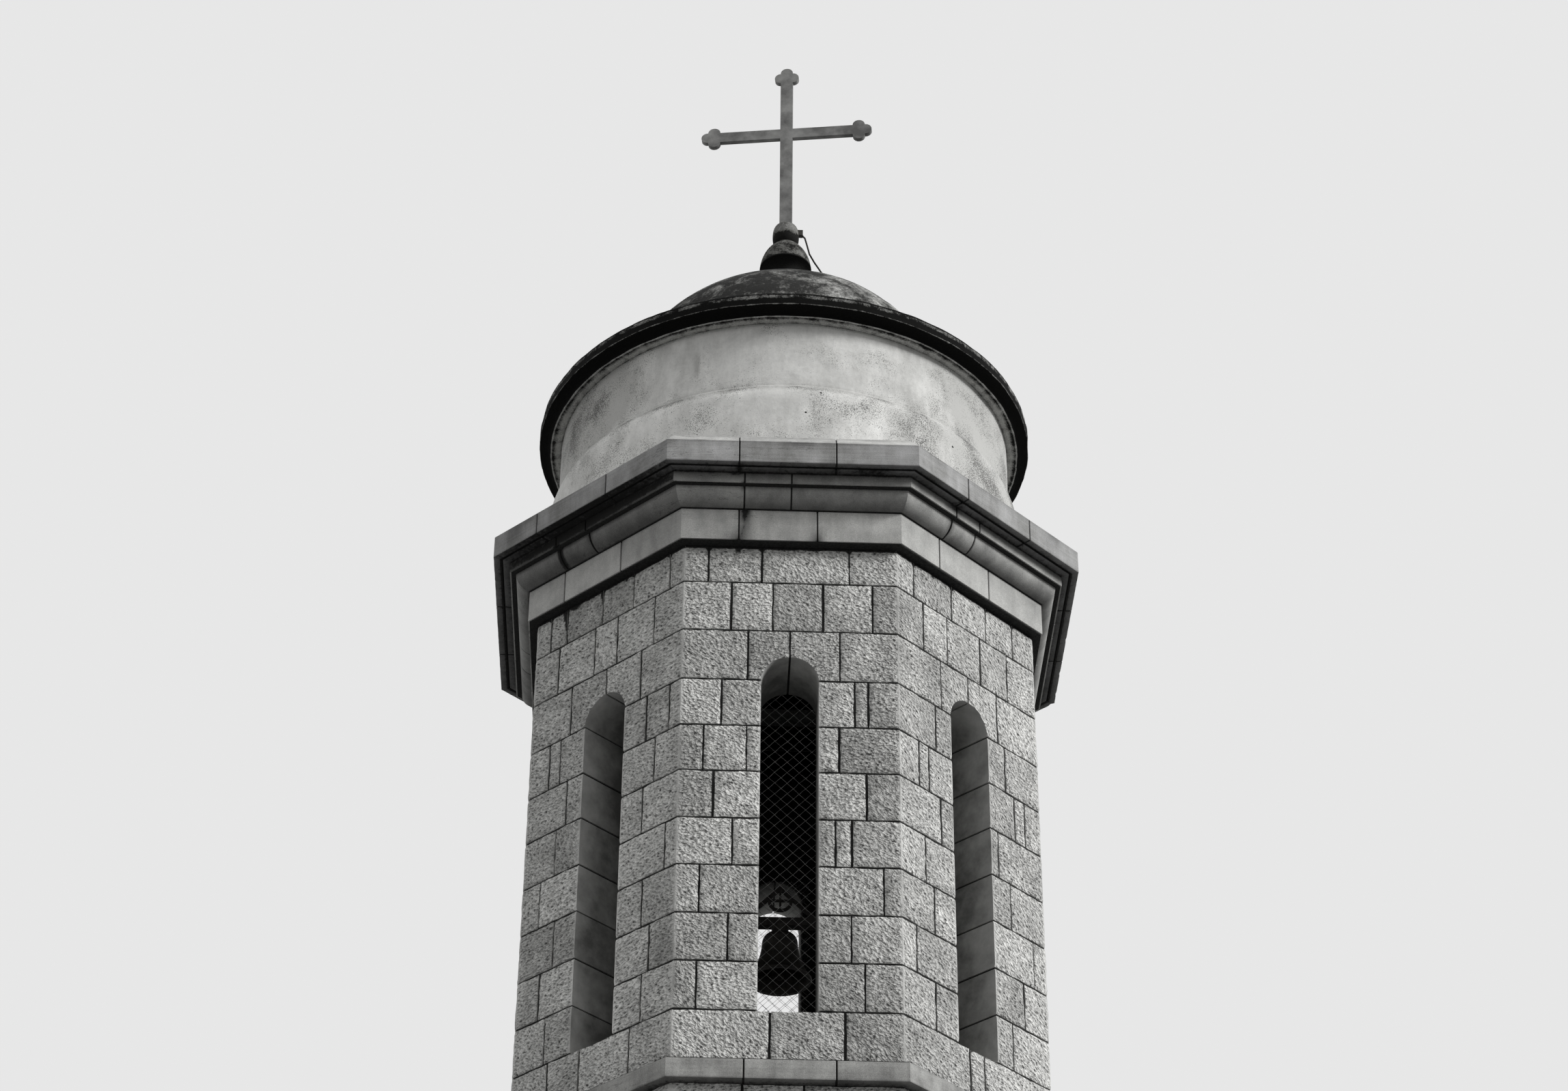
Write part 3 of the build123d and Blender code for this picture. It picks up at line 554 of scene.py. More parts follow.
# the head of the doorway is cut from two courses, this one and the next
DOOR_ARCH_COURSE = 5
SHAFT_TOP = 8880
step = (SHAFT_TOP - BASE_TOP) / SHAFT_COURSES
for side, side_name in enumerate(SIDE_NAMES):
    stones = StoneSide(side, cell=42)
    for index in range(SHAFT_COURSES):
        bottom = BASE_TOP + step * index
        top = bottom + step
        if side == 0 and index < DOOR_ARCH_COURSE:
            stones.row(bottom, top, [-480, 500] if index % 2 else [], DOOR_HALF)
        elif side == 0 and index == DOOR_ARCH_COURSE:
            for sign in (-1, 1):
                for first, last in ((0, 34), (34, 64), (64, 86)):
                    stones.arch_stone(sign, DOOR_HALF, DOOR_SPRING, bottom, bottom + 2 * step, edge + STONE_GAP / 2,
                                      first + 0.6 * (first > 0), last - 0.6 * (last < 86), last == 86)
        elif not (side == 0 and index == DOOR_ARCH_COURSE + 1):
            stones.row(bottom, top, random_joints(stones.chance, edge, 0))
    if side == 0:
        nodes = ["door_jamb_left", "door_jamb_right", "wall_over_door"]
        hole = (DOOR_HALF, DOOR_SPRING, BASE_TOP)
    else:
        nodes = ["shaft_wall_" + side_name]
        hole = None
    stones.finish("shaft_stones_" + side_name, hammered_stone, nodes)
    points, faces = wall_core(nodes, side, hole)
    piece("shaft_core_" + side_name, points, faces, joint_mortar, "rock_faced_limestone")

# Door
# A round-headed leaf of weathered oak boards, tongued together with a small groove at each joint.
# Nothing shows it in the photograph, so it stays plain.


def weathered_oak(name, light, dark, stretch):
    """Old oak left to the weather: grey, with open grain 18 mm wide, drawn out along the board, and darker cracks."""
    noise = {"Scale": 1.0, "Detail": 9.0, "Roughness": 0.7, "Distortion": 0.4}
    return mottled(name, noise, (0.32, dark), (0.68, light), 0.8, relief=(0.5, 0.002), stretch=stretch)


oak_boards = weathered_oak("weathered oak boards", "#7d7a76", "#45423f", (55.0, 55.0, 2.2))
BOARDS = 6
LEAF_HALF = 346
LEAF_FRONT, LEAF_BACK = 1260, 1205
GROOVE_DEPTH = 7
points, faces = [], []
for index in range(BOARDS):
    low = -LEAF_HALF + index * 2 * LEAF_HALF / BOARDS
    cuts = np.linspace(low, low + 2 * LEAF_HALF / BOARDS, 7)
    for u0, u1 in zip(cuts, cuts[1:]):
        base = len(points)
        for u in (u0, u1):
            head = DOOR_SPRING + math.sqrt(max(LEAF_HALF ** 2 - u * u, 0))
            groove = GROOVE_DEPTH if u in (cuts[0], cuts[-1]) else 0
            for depth in (LEAF_FRONT - groove, LEAF_BACK):
                points.append(on_side(0, u, depth, BASE_TOP + 0.5).tolist())
                points.append(on_side(0, u, depth, head).tolist())
        faces.extend([tuple(base + i for i in quad) for quad in (
            (0, 4, 5, 1), (6, 2, 3, 7), (1, 5, 7, 3), (4, 0, 2, 6), (0, 1, 3, 2), (5, 4, 6, 7))])
piece("door_boards", points, faces, oak_boards, "oak_planks", ["door"])

# String course
# A plain projecting band of dressed limestone that marks the floor of the bell stage.
# Its blocks meet at joints within each side, and the corner blocks turn the corner.
band_stone = dressed_limestone("dressed limestone, band", "#c4c4c1", "#868684")
string_profile = [(1560, SHAFT_TOP, 0.6), (1560, SHAFT_TOP + 10, 0.2), (1560, STRING_TOP, 0.1),
                  (INNER_FACE, STRING_TOP, 0), (INNER_FACE, SHAFT_TOP, 0), (1505, SHAFT_TOP, 0.8)]
string_joints = [(-234, 258), (-140, 300), (-300, 180), (-60,)] * 2
string_stains = [(7, 0, 8940, 1500, 200, 0.35, 1600)]
course("string_course", "string_course", string_profile, string_joints, 9, band_stone, 2, (0, 8), string_stains)

# Floor of the bell stage
# A plain concrete slab between the walls at the string course, float-finished.


def concrete(name, light, dark):
    """Cast concrete with a float finish: even grey with soft clouds and fine pores."""
    material, tree, place = new_material(name)
    cloud = add(tree, "TexNoise", {"Scale": 6.0, "Detail": 8.0, "Roughness": 0.6}, {"Vector": place})
    grey = add(tree, "ValToRGB", links={"Fac": cloud}, stops=[(0.3, dark), (0.7, light)])
    pores = add(tree, "TexNoise", {"Scale": 220.0, "Detail": 3.0}, {"Vector": place})
    relief = add(tree, "Bump", {"Strength": 0.3, "Distance": 0.001}, {"Height": pores})
    surface(tree, grey, relief, roughness=0.85)
    return material


def finish_node(node, material, edge_round=0.0):
    """Gives a CAD node its material, and its edges a small round in millimetres."""
    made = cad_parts[node]
    made.data.materials.clear()
    made.data.materials.append(material)
    if edge_round:
        rounding = made.modifiers.new("edge", "BEVEL")
        rounding.width = edge_round / 1000
        rounding.segments = 2
        rounding.limit_method = "ANGLE"


finish_node("belfry_floor", concrete("float-finished concrete", "#8e8e8c", "#70706e"))

# Netting
# Galvanised chain-link netting against birds, 50 mm mesh of 3 mm wire, fixed to the inner face of each wall.
# Each wire zigzags downwards and hooks round the next one at every bend.


def tube(path, radius, sides, points, faces):
    """Adds a round wire along a path to a mesh."""
    path = np.asarray(path, float)
    ahead = np.gradient(path, axis=0)
    ahead /= np.linalg.norm(ahead, axis=1)[:, None]
    across = np.cross(ahead, [0.0, 0.0, 1.0])
    across /= np.maximum(np.linalg.norm(across, axis=1), 1e-6)[:, None]
    over = np.cross(ahead, across)
    base = len(points)
    for k in range(len(path)):
        for s in range(sides):
            turn = 2 * math.pi * s / sides
            points.append((path[k] + radius * (math.cos(turn) * across[k] + math.sin(turn) * over[k])).tolist())
    for k in range(len(path) - 1):
        for s in range(sides):
            a, b = base + k * sides + s, base + k * sides + (s + 1) % sides
            faces.append((a, b, b + sides, a + sides))
    faces.append(tuple(base + s for s in range(sides)))
    faces.append(tuple(base + (len(path) - 1) * sides + s for s in range(sides)))


# zinc-coated steel wire, dull grey with age, with a soft sheen where the zinc still shows
wire = mottled("galvanised wire, dull", {"Scale": 30.0, "Detail": 4.0}, (0.2, "#a3a3a1"), (0.8, "#dadad8"), 0.55,
               metallic=0.25)
WIRE_RADIUS = 1.5
MESH = 50
NET_REACH = 212
NET_BOTTOM, NET_TOP = STRING_TOP + 285, STRING_TOP + 2610
mesh_half = MESH / math.sqrt(2)
for side, side_name in enumerate(SIDE_NAMES):
    points, faces = [], []
    chance = np.random.default_rng(700 + side)
    columns = int(2 * NET_REACH / mesh_half)
    rows = int((NET_TOP - NET_BOTTOM) / mesh_half)
    sway = chance.uniform(-1.8, 1.8, (columns + 2, rows + 1))
    rise = chance.uniform(-1.8, 1.8, (columns + 2, rows + 1))
    for c in range(columns):
        line = []
        for r in range(rows + 1):
            over = (r + c) % 2
            u = -NET_REACH + (c + over) * mesh_half + sway[c + over, r]
            z = NET_BOTTOM + r * mesh_half + rise[c + over, r]
            line.append(on_side(side, u, INNER_FACE - 6 + (1.4 if over else -1.4), z).tolist())
        tube(line, WIRE_RADIUS, 4, points, faces)
    piece("netting_" + side_name, points, faces, wire)

# Bell and its fittings
# A small cast-bronze bell with a rounded shoulder and a flared lip, bolted under a square iron yoke.
# The yoke carries an inverted V of flat bar with a spoked wheel in it, and turns in two iron bearings on oak beams.


def bend(start, corner, end, runs):
    """Points along a smooth bend between two lines that meet at a corner."""
    share = np.linspace(0, 1, runs + 1)[:, None]
    start, corner, end = np.array(start, float), np.array(corner, float), np.array(end, float)
    return (start * (1 - share) ** 2 + corner * 2 * share * (1 - share) + end * share ** 2).tolist()


def turned(name, rows, segments, material, slot, stands_for, body="tower", relief=None, grime=None, sharp=30):
    """A round piece, turned about the tower's axis from rows of reach, height and share of soot and painted shade. It
    closes where it ends off the axis. The relief gives millimetres outwards, and the grime function a share of soot
    and painted shade that varies round the piece."""
    rows = np.array([(*row, 0)[:3] for row in rows], float)
    profile = rows[:, :2]
    count = len(profile)
    turn = np.linspace(0, 2 * math.pi, segments, endpoint=False)[:, None]
    reach = np.repeat(profile[None, :, 0], segments, 0)
    height = np.repeat(profile[None, :, 1], segments, 0)
    dirt_and_shade = grime(turn, height, reach) if grime else np.repeat(rows[None, :, 2], segments, 0)
    if relief:
        reach = reach + relief(turn * np.maximum(reach, 1), height, reach)
    points = np.stack([np.cos(turn) * reach, np.sin(turn) * reach, height], -1).reshape(-1, 3)
    closed = profile[0, 0] > 0 and profile[-1, 0] > 0
    faces = []
    for s in range(segments):
        for i in range(count if closed else count - 1):
            here, there = s * count, (s + 1) % segments * count
            j = (i + 1) % count
            quad = [here + i, there + i, there + j, here + j]
            if profile[i, 0] == 0:
                quad = [i, there + j, here + j]
            if profile[j, 0] == 0:
                quad = [here + i, there + i, j] if profile[i, 0] > 0 else []
            if quad:
                faces.append(tuple(quad))
    return piece(name, points, faces, material, slot, stands_for, body, sharp=sharp, grime=dirt_and_shade.ravel())


# cast bronze gone dark brown-grey in the open, with a paler rubbed bloom
bell_bronze = mottled("cast bell bronze, weathered", {"Scale": 14.0, "Detail": 7.0, "Roughness": 0.65},
                      (0.35, "#2b2a28"), (0.75, "#5d5b56"), 0.55, metallic=0.7)
# forged iron with a dull dark skin of rust
iron = mottled("forged iron, rusted dark", {"Scale": 45.0, "Detail": 7.0, "Roughness": 0.7}, (0.3, "#201f1e"),
               (0.75, "#4c4946"), 0.8, metallic=0.3, relief=(0.4, 0.001))
BELL_AXIS = 10675
crown_level = BELL_AXIS - 26.5
shoulder = crown_level - 45
mouth = shoulder - 316
bell_profile = [(0, crown_level), (56, crown_level)]
bell_profile += bend((42, shoulder), (98, shoulder - 8), (106, shoulder - 60.04), 14)
bell_profile += bend((106, shoulder - 60.04), (113, shoulder - 200.66), (190, mouth + 10), 22)[1:]
bell_profile += [(189, mouth + 4), (186, mouth), (164, mouth)]
bell_profile += bend((164, mouth), (107, shoulder - 200.66), (92, shoulder - 60.04), 18)[1:]
bell_profile += bend((92, shoulder - 60.04), (88, shoulder - 22), (34, shoulder - 20), 8)[1:] + [(0, shoulder - 20)]
turned("bell_casting", bell_profile, 128, bell_bronze, "bell_bronze", ["bell"], "bell_assembly")
for node in ("bell_yoke", "bell_bearings", "clapper"):
    finish_node(node, iron, 1.5 if node != "clapper" else 0.0)
finish_node("bell_beams", weathered_oak("sawn oak beam", "#6d6a66", "#3d3a37", (55.0, 2.2, 55.0)), 4.0)

# Cornice, bed and ovolo courses
# A square bed band of dressed limestone, and on it a round moulding that is upright at its head.
# A square fillet finishes the round, and the corona keeps the rain off its upper half, so soot stays there; painted
# shade under the corona darkens it as well.
bed_stone = dressed_limestone("dressed limestone, bed band", "#c0c0bd", "#989896", 0.1)
BED_TOP = 12568
bed_profile = [(1562, BELFRY_TOP, 0.0), (1562, 12470, 0.02), (1562, 12560, 0.12), (1562, BED_TOP, 0.25),
               (INNER_FACE, BED_TOP, 0), (INNER_FACE, BELFRY_TOP, 0), (1490, BELFRY_TOP, 0.7),
               (1503, BELFRY_TOP, 0.4), (1512, BELFRY_TOP, 0.0)]
bed_joints = [(-308, 153), (-304, 147), (-300, 160), (-315, 140), (-290, 155), (-310, 150), (-320, 140), (-336, 144)]
# the last mark, of negative strength, lightens the upper part of the front against the corona's shadow, as painted
# light
bed_stains_and_light = [
    (0, -272, 12530, 40, 70, 2.0, 1600), (0, -262, 12490, 26, 34, 1.2, 1600), (7, 157, 12560, 20, 70, 0.7, 1600),
    (7, 190, 12530, 60, 60, 0.3, 1600), (0, -308, 12350, 60, 20, 1.0, 1600), (0, 153, 12350, 40, 20, 1.0, 1600),
    (0, 0, 12530, 2000, 90, -0.4, 1600)]
course("bed_course", "bed_course", bed_profile, bed_joints, 8, bed_stone, 3, (8, 0), bed_stains_and_light)

round_stone = dressed_limestone("dressed limestone, round moulding", "#b4b4b1", "#868684", 0.1)
OVOLO_TOP, FILLET_TOP = 12680, 12756
ROUND_OUT, ROUND_RISE, ROUND_FACE = 88, 112, 1650
round_radius = (ROUND_OUT ** 2 + ROUND_RISE ** 2) / (2 * ROUND_OUT)
round_sweep = math.atan2(ROUND_RISE, round_radius - ROUND_OUT)
ovolo = [(ROUND_FACE - round_radius + round_radius * math.cos(t), OVOLO_TOP - round_radius * math.sin(t))
         for t in np.linspace(round_sweep, 0, 11)]
# the round is darker at its foot, partly dirt and partly painted shade, and at its head in the corner under the
# fillet, as painted shade
ovolo_soot_and_shade = [0.8, 0.62, 0.52, 0.42, 0.32, 0.22, 0.12, 0.04, 0.0, 0.08, 0.45]
# the fillet darkens towards its top under the corona, with soot and painted shade
ovolo_profile = [(1688, OVOLO_TOP, 0.05), (1688, 12700, 0.2), (1688, 12722, 0.4), (1688, 12738, 0.62),
                 (1688, FILLET_TOP, 1.0), (INNER_FACE, FILLET_TOP, 0.5), (INNER_FACE, BED_TOP, 0)]
ovolo_profile += [(out, height, soot_and_shade) for (out, height), soot_and_shade in zip(ovolo, ovolo_soot_and_shade)]
ovolo_joints = [(-279, -3), (-286, -73), (-285, -125), (-290, -60), (-275, -20), (-300, -90), (-280, -50), (-297, -43)]
# the three marks that run the whole width of a side are painted shade under the corona
ovolo_stains_and_shade = [
    (0, -285, 12675, 12, 26, 0.8, 1700), (0, -330, 12740, 60, 22, 1.0, 1700), (0, -3, 12680, 10, 20, 0.5, 1700),
    (7, 0, 12718, 1500, 60, 1.15, 1700), (7, 0, 12560, 1500, 110, 0.75, 1700), (1, 0, 12745, 1200, 18, 0.75, 1700),
    (7, -297, 12650, 15, 130, 1.6, 1700), (7, -43, 12650, 10, 120, 1.2, 1700), (7, -120, 12740, 160, 40, 0.8, 1700),
    (7, -285, 12740, 120, 30, 0.8, 1700), (1, -286, 12640, 14, 110, 0.8, 1700), (1, -300, 12735, 120, 45, 0.9, 1700),
    (1, 120, 12745, 300, 30, 0.7, 1700)]
course("ovolo_course", "ovolo_course", ovolo_profile, ovolo_joints, 8, round_stone, 4, (9, 6), ovolo_stains_and_shade)

# Cornice, corona and weathering
# The corona is a broad projecting course, throated below so that rain drips clear of the wall.
# The weathering's sides slope back above it, in line with the corona's joints, and the drum stands on it.
corona_stone = dressed_limestone("dressed limestone, corona", "#bababa", "#8c8c8a", 0.4)
CORONA_OUT, CORONA_TOP = 1790, 12906
CORNICE_EYE = 900
# the soffit is painted darker towards the wall and in the throat, as painted shade
corona_profile = [(CORONA_OUT, FILLET_TOP, 0.55), (CORONA_OUT, 12767, 0.04), (CORONA_OUT, 12850, 0.0),
                  (CORONA_OUT, CORONA_TOP, 0.2), (CORNICE_EYE, CORONA_TOP, 0), (CORNICE_EYE, FILLET_TOP, 0.3),
                  (1670, FILLET_TOP, 1.0), (1697, FILLET_TOP, 0.78), (1733, FILLET_TOP, 0.66),
                  (1733, 12770, 1.3), (1753, 12770, 1.3), (1753, FILLET_TOP, 0.8)]
corona_joints = [(-315, 256), (-292, 278), (-321, 250), (-300, 265), (-310, 240), (-285, 270), (-330, 207),
                 (-367, 226)]
# the two marks along the whole of side 7 darken its face and soffit as painted shade
corona_stains_and_shade = [
    (7, -560, 12880, 110, 60, 0.8, 1800), (7, -430, 12900, 60, 30, 0.6, 1800), (7, 0, 12800, 1500, 300, 0.28, 1800),
    (7, 0, 12756, 1500, 8, 1.0, 1800), (0, 40, 12904, 110, 12, 0.75, 1800), (0, -314, 12756, 22, 60, 1.0, 1780),
    (0, 256, 12756, 16, 60, 1.0, 1780), (0, 480, 12756, 260, 60, 0.9, 1735), (1, 278, 12756, 20, 60, 0.9, 1780),
    (1, -292, 12756, 20, 60, 0.9, 1780), (1, 500, 12890, 90, 40, 0.6, 1800)]
course("corona", "corona", corona_profile, corona_joints, 8, corona_stone, 5, marks=corona_stains_and_shade)
slope_stone = dressed_limestone("dressed limestone, weathering", "#dadad7", "#adadab", 0.3)
WEATHERING_TOP = 13018
slope_profile = [(CORONA_OUT, CORONA_TOP, 0.2), (1750, 12949, 0.0), (1685, WEATHERING_TOP, 0.3),
                 (CORNICE_EYE, WEATHERING_TOP, 0), (CORNICE_EYE, CORONA_TOP, 0)]
course("weathering", "weathering_course", slope_profile, corona_joints, 7, slope_stone, 5)

# Drum
# A round wall finished in trowelled lime render over a spreading skirt, pale where it is sound.
# The skirt's coat is older and full of dirt specks, and it ends in a broken edge at the rounded shoulder.
SKIRT_TOP, DRUM_TOP = 13602, 14082
DRUM_FACE, DRUM_INSIDE = 1447, 980
# within this reach the drum is out of sight, so it has no waves and no marks
DRUM_HIDDEN = 1300
# height of the broken edge, in metres as the shader takes it
OLD_COAT_EDGE = 13.612


def lime_render():
    """Trowelled lime render: chalky and pale, with dirty pores, soft clouds, hair cracks and the edges of patches."""
    material, tree, place = new_material("trowelled lime render")
    grime = add(tree, "Attribute", attribute_name="grime").outputs["Fac"]
    height = add(tree, "SeparateXYZ", links={"Vector": place}).outputs["Z"]
    patch = add(tree, "TexNoise", {"Scale": 2.4, "Detail": 9.0, "Roughness": 0.62, "Distortion": 0.4},
                {"Vector": place})
    falling = add(tree, "Mapping", {"Scale": (6.0, 6.0, 1.6), "Rotation": (0.0, 0.25, 0.0)}, {"Vector": place})
    wash = add(tree, "TexNoise", {"Scale": 1.0, "Detail": 8.0, "Roughness": 0.68}, {"Vector": falling})
    tone = add(tree, "Math", links={0: patch, 1: wash}, operation="ADD")
    fine = add(tree, "TexNoise", {"Scale": 30.0, "Detail": 8.0, "Roughness": 0.75}, {"Vector": place})
    # the grime attribute darkens the tone; on the drum it holds stains and painted shade
    for share, part in ((0.5, fine), (-0.46, grime)):
        tone = add(tree, "Math", {1: share}, {0: part, 2: tone}, operation="MULTIPLY_ADD")
    tone = add(tree, "MapRange", {"From Min": 0.8, "From Max": 1.5}, {"Value": tone})
    grey = add(tree, "ValToRGB", links={"Fac": tone}, stops=[(0.0, "#bcbcb9"), (1.0, "#fcfcf9")])
    # the broken edge of the old coat wanders about the shoulder
    wander = add(tree, "TexNoise", {"Scale": 7.0, "Detail": 7.0, "Roughness": 0.7}, {"Vector": place})
    level = add(tree, "Math", {1: 0.09}, {0: wander, 2: height}, operation="MULTIPLY_ADD")
    old_coat = add(tree, "MapRange", {"From Min": OLD_COAT_EDGE + 0.023, "From Max": OLD_COAT_EDGE - 0.007},
                   {"Value": level})
    specks = add(tree, "TexNoise", {"Scale": 160.0, "Detail": 5.0, "Roughness": 0.7}, {"Vector": place})
    areas = add(tree, "TexNoise", {"Scale": 3.4, "Detail": 4.0, "Roughness": 0.6}, {"Vector": place})
    dense = specks
    for share, part in ((0.5, areas), (0.05, old_coat), (0.07, grime)):
        dense = add(tree, "Math", {1: share}, {0: part, 2: dense}, operation="MULTIPLY_ADD")
    dots = add(tree, "MapRange", {"From Min": 0.89, "From Max": 0.945, "To Max": 0.9}, {"Value": dense})
    paler = add(tree, "Math", {1: 0.06}, {0: old_coat}, operation="MULTIPLY")
    coat = add(tree, "Mix", {"B": linear("#f0f0ee")}, {"Factor": paler, "A": grey}, data_type="RGBA")
    spotted = add(tree, "Mix", {"B": linear("#4e4e4c")}, {"Factor": dots, "A": coat}, data_type="RGBA")
    # tufts of black lichen, about 12 mm across, sit far apart on the old coat
    tuft = add(tree, "TexVoronoi", {"Scale": 11.0}, {"Vector": place}, feature="F1")
    chosen = add(tree, "SeparateColor", links={"Color": tuft.outputs["Color"]})
    size = add(tree, "MapRange", {"From Min": 0.55, "From Max": 1.0, "To Min": 0.0, "To Max": 0.1},
               {"Value": chosen.outputs["Red"]})
    inside = add(tree, "Math", links={0: tuft, 1: size}, operation="LESS_THAN")
    lichen = add(tree, "Math", links={0: inside, 1: old_coat}, operation="MULTIPLY")
    tufted = add(tree, "Mix", {"B": linear("#2b2b2a")}, {"Factor": lichen, "A": spotted}, data_type="RGBA")
    # its edge is a thin dark line, broken by the grain and lost in the sounder areas
    line = add(tree, "MapRange", {"From Min": OLD_COAT_EDGE + 0.01, "From Max": OLD_COAT_EDGE, "To Max": 0.85},
               {"Value": level})
    below = add(tree, "MapRange", {"From Min": OLD_COAT_EDGE - 0.014, "From Max": OLD_COAT_EDGE}, {"Value": level})
    kept = add(tree, "MapRange", {"From Min": 0.5, "From Max": 0.62}, {"Value": areas})
    broken = add(tree, "MapRange", {"From Min": 0.46, "From Max": 0.56}, {"Value": fine})
    for part in (below, kept, broken):
        line = add(tree, "Math", links={0: line, 1: part}, operation="MULTIPLY")
    edged = add(tree, "Mix", {"B": linear("#61615f")}, {"Factor": line, "A": tufted}, data_type="RGBA")
    bent = add(tree, "Mix", {"Factor": 0.14}, {"A": place, "B": wander.outputs["Color"]}, data_type="VECTOR")
    cells = add(tree, "TexVoronoi", {"Scale": 1.3}, {"Vector": bent}, feature="DISTANCE_TO_EDGE")
    crack = add(tree, "MapRange", {"From Min": 0.003, "From Max": 0.0, "To Max": 0.5}, {"Value": cells})
    open_crack = add(tree, "Math", links={0: crack, 1: kept}, operation="MULTIPLY")
    colour = add(tree, "Mix", {"B": linear("#565654")}, {"Factor": open_crack, "A": edged}, data_type="RGBA")
    trowel = add(tree, "TexNoise", {"Scale": 13.0, "Detail": 9.0, "Roughness": 0.62}, {"Vector": place})
    relief = add(tree, "Bump", {"Strength": 0.5, "Distance": 0.007}, {"Height": trowel})
    surface(tree, colour, relief, roughness=0.9)
    return material


def waves(coarse, fine, sunk, where):
    """Relief of render laid by hand: coarse and fine lumps, each by size, rise and seed, and where they are."""
    def relief(along, height, reach):
        both = sum(lumps(along, height, size, seed) * rise for size, rise, seed in (coarse, fine))
        return np.where(where(height, reach), both - sunk, 0)
    return relief


# the rings at 13574 on the skirt's shoulder and at 14086 under the rim are painted shade, and the broad mark towards
# -14 degrees is painted shade that dims the side facing the key lamp
drum_marks = [
    (-113.7, 13840, 20, 95, 1.2), (-147, 13470, 80, 110, 0.9), (-138, 13560, 60, 60, 0.7), (-126, 13570, 130, 30, 0.7),
    (-155, 13880, 620, 300, 2.6), (-130, 13950, 300, 170, 0.6), (-90, 13690, 30, 12, 0.9), (-97, 14030, 60, 35, 0.6),
    (-60, 13580, 160, 25, 0.6), (-42, 13480, 90, 70, 0.5), (-14, 13600, 1300, 900, 1.5), (-90, 13574, 45000, 38, 0.9),
    (-150, 13340, 700, 250, 0.6), (150, 13500, 260, 200, 0.6), (90, 13450, 300, 160, 0.6), (40, 13500, 200, 160, 0.7),
    (120, 13850, 260, 160, 0.6), (-90, 14086, 45000, 20, 1.3)]


def drum_grime_and_shade(turn, height, reach):
    """Dark marks on the render, each by its direction, height, width, depth and strength; some are painted shade."""
    grime = np.zeros(reach.shape)
    arc_per_degree = 25
    for direction, middle, width, depth, strength in drum_marks:
        way = (np.degrees(turn) - direction + 180) % 360 - 180
        mark = strength * np.exp(-(way * arc_per_degree / width) ** 2 - ((height - middle) / depth) ** 2)
        grime = np.maximum(grime, mark)
    return np.where(reach > DRUM_HIDDEN, grime, 0.3)


drum_profile = [(1525 - 20 * s, WEATHERING_TOP + 434 * s) for s in np.linspace(0, 1, 20)]
drum_profile += bend((1505, 13452), (1501, 13537.5), (DRUM_FACE, SKIRT_TOP), 10)[1:]
drum_profile += [(DRUM_FACE, z) for z in np.linspace(SKIRT_TOP + 20, DRUM_TOP, 24)]
drum_profile += [(DRUM_INSIDE, DRUM_TOP), (DRUM_INSIDE, WEATHERING_TOP)]
drum_nodes = ["drum_right", "drum_back", "drum_left", "drum_front"]
turned("drum_render", drum_profile, 400, lime_render(), "lime_render", drum_nodes,
       relief=waves((230, 5, 5), (90, 2, 8), 4, lambda height, reach: reach > DRUM_HIDDEN), grime=drum_grime_and_shade)

# Rim moulding
# The drum's head is run in render: a flat pale soffit, a small cove and a square face.
# Rain and lichen have turned all but the soffit almost black.


def weathered_render(name, light, middle, dark, scale):
    """Render or mortar mottled by lichen and soot, and by painted shade where the grime attribute holds it: pale where
    it is sheltered or rubbed, and elsewhere near black.
    """
    material, tree, place = new_material(name)
    grime = add(tree, "Attribute", attribute_name="grime").outputs["Fac"]
    large = add(tree, "TexNoise", {"Scale": scale, "Detail": 10.0, "Roughness": 0.7, "Distortion": 0.3},
                {"Vector": place})
    fine = add(tree, "TexNoise", {"Scale": scale * 9, "Detail": 6.0, "Roughness": 0.75}, {"Vector": place})
    both = add(tree, "Math", {1: 0.6}, {0: fine, 2: large}, operation="MULTIPLY_ADD")
    # the grime attribute pushes the coat to black; on the rim and the finial it also holds painted shade
    black = add(tree, "Math", {1: 1.1}, {0: both, 2: grime}, operation="MULTIPLY_ADD")
    share = add(tree, "MapRange", {"From Min": 0.95, "From Max": 1.5}, {"Value": black})
    grey = add(tree, "ValToRGB", links={"Fac": share}, stops=[(0.0, light), (0.5, middle), (0.68, dark)])
    grit = add(tree, "TexNoise", {"Scale": 150.0, "Detail": 4.0, "Roughness": 0.75}, {"Vector": place})
    gritty = add(tree, "MapRange", {"From Min": 0.3, "From Max": 0.7, "To Min": 0.55, "To Max": 1.45}, {"Value": grit})
    coat = add(tree, "VectorMath", links={0: grey, 1: gritty}, operation="MULTIPLY")
    relief = add(tree, "Bump", {"Strength": 0.7, "Distance": 0.006}, {"Height": both})
    surface(tree, coat, relief, roughness=0.92, ior=1.2)
    return material


RIM_TOP = 14210
# the soffit is darker where it meets the drum, as painted shade
rim_rows = [(DRUM_FACE, DRUM_TOP, 0.3), (1459, DRUM_TOP, 0.12), (1478, DRUM_TOP, 0.1), (1494, DRUM_TOP, 0.34),
            (1507, DRUM_TOP, 0.46), (1514, DRUM_TOP, 0.2), (1520, 14084, 0.1), (1521, 14088, 0.9), (1520, 14094, 1.1)]
rim_rows += [(1580 - 60 * math.cos(t), 14094 + 28 * math.sin(t), 1.2) for t in np.linspace(0, math.pi / 2, 9)][1:]
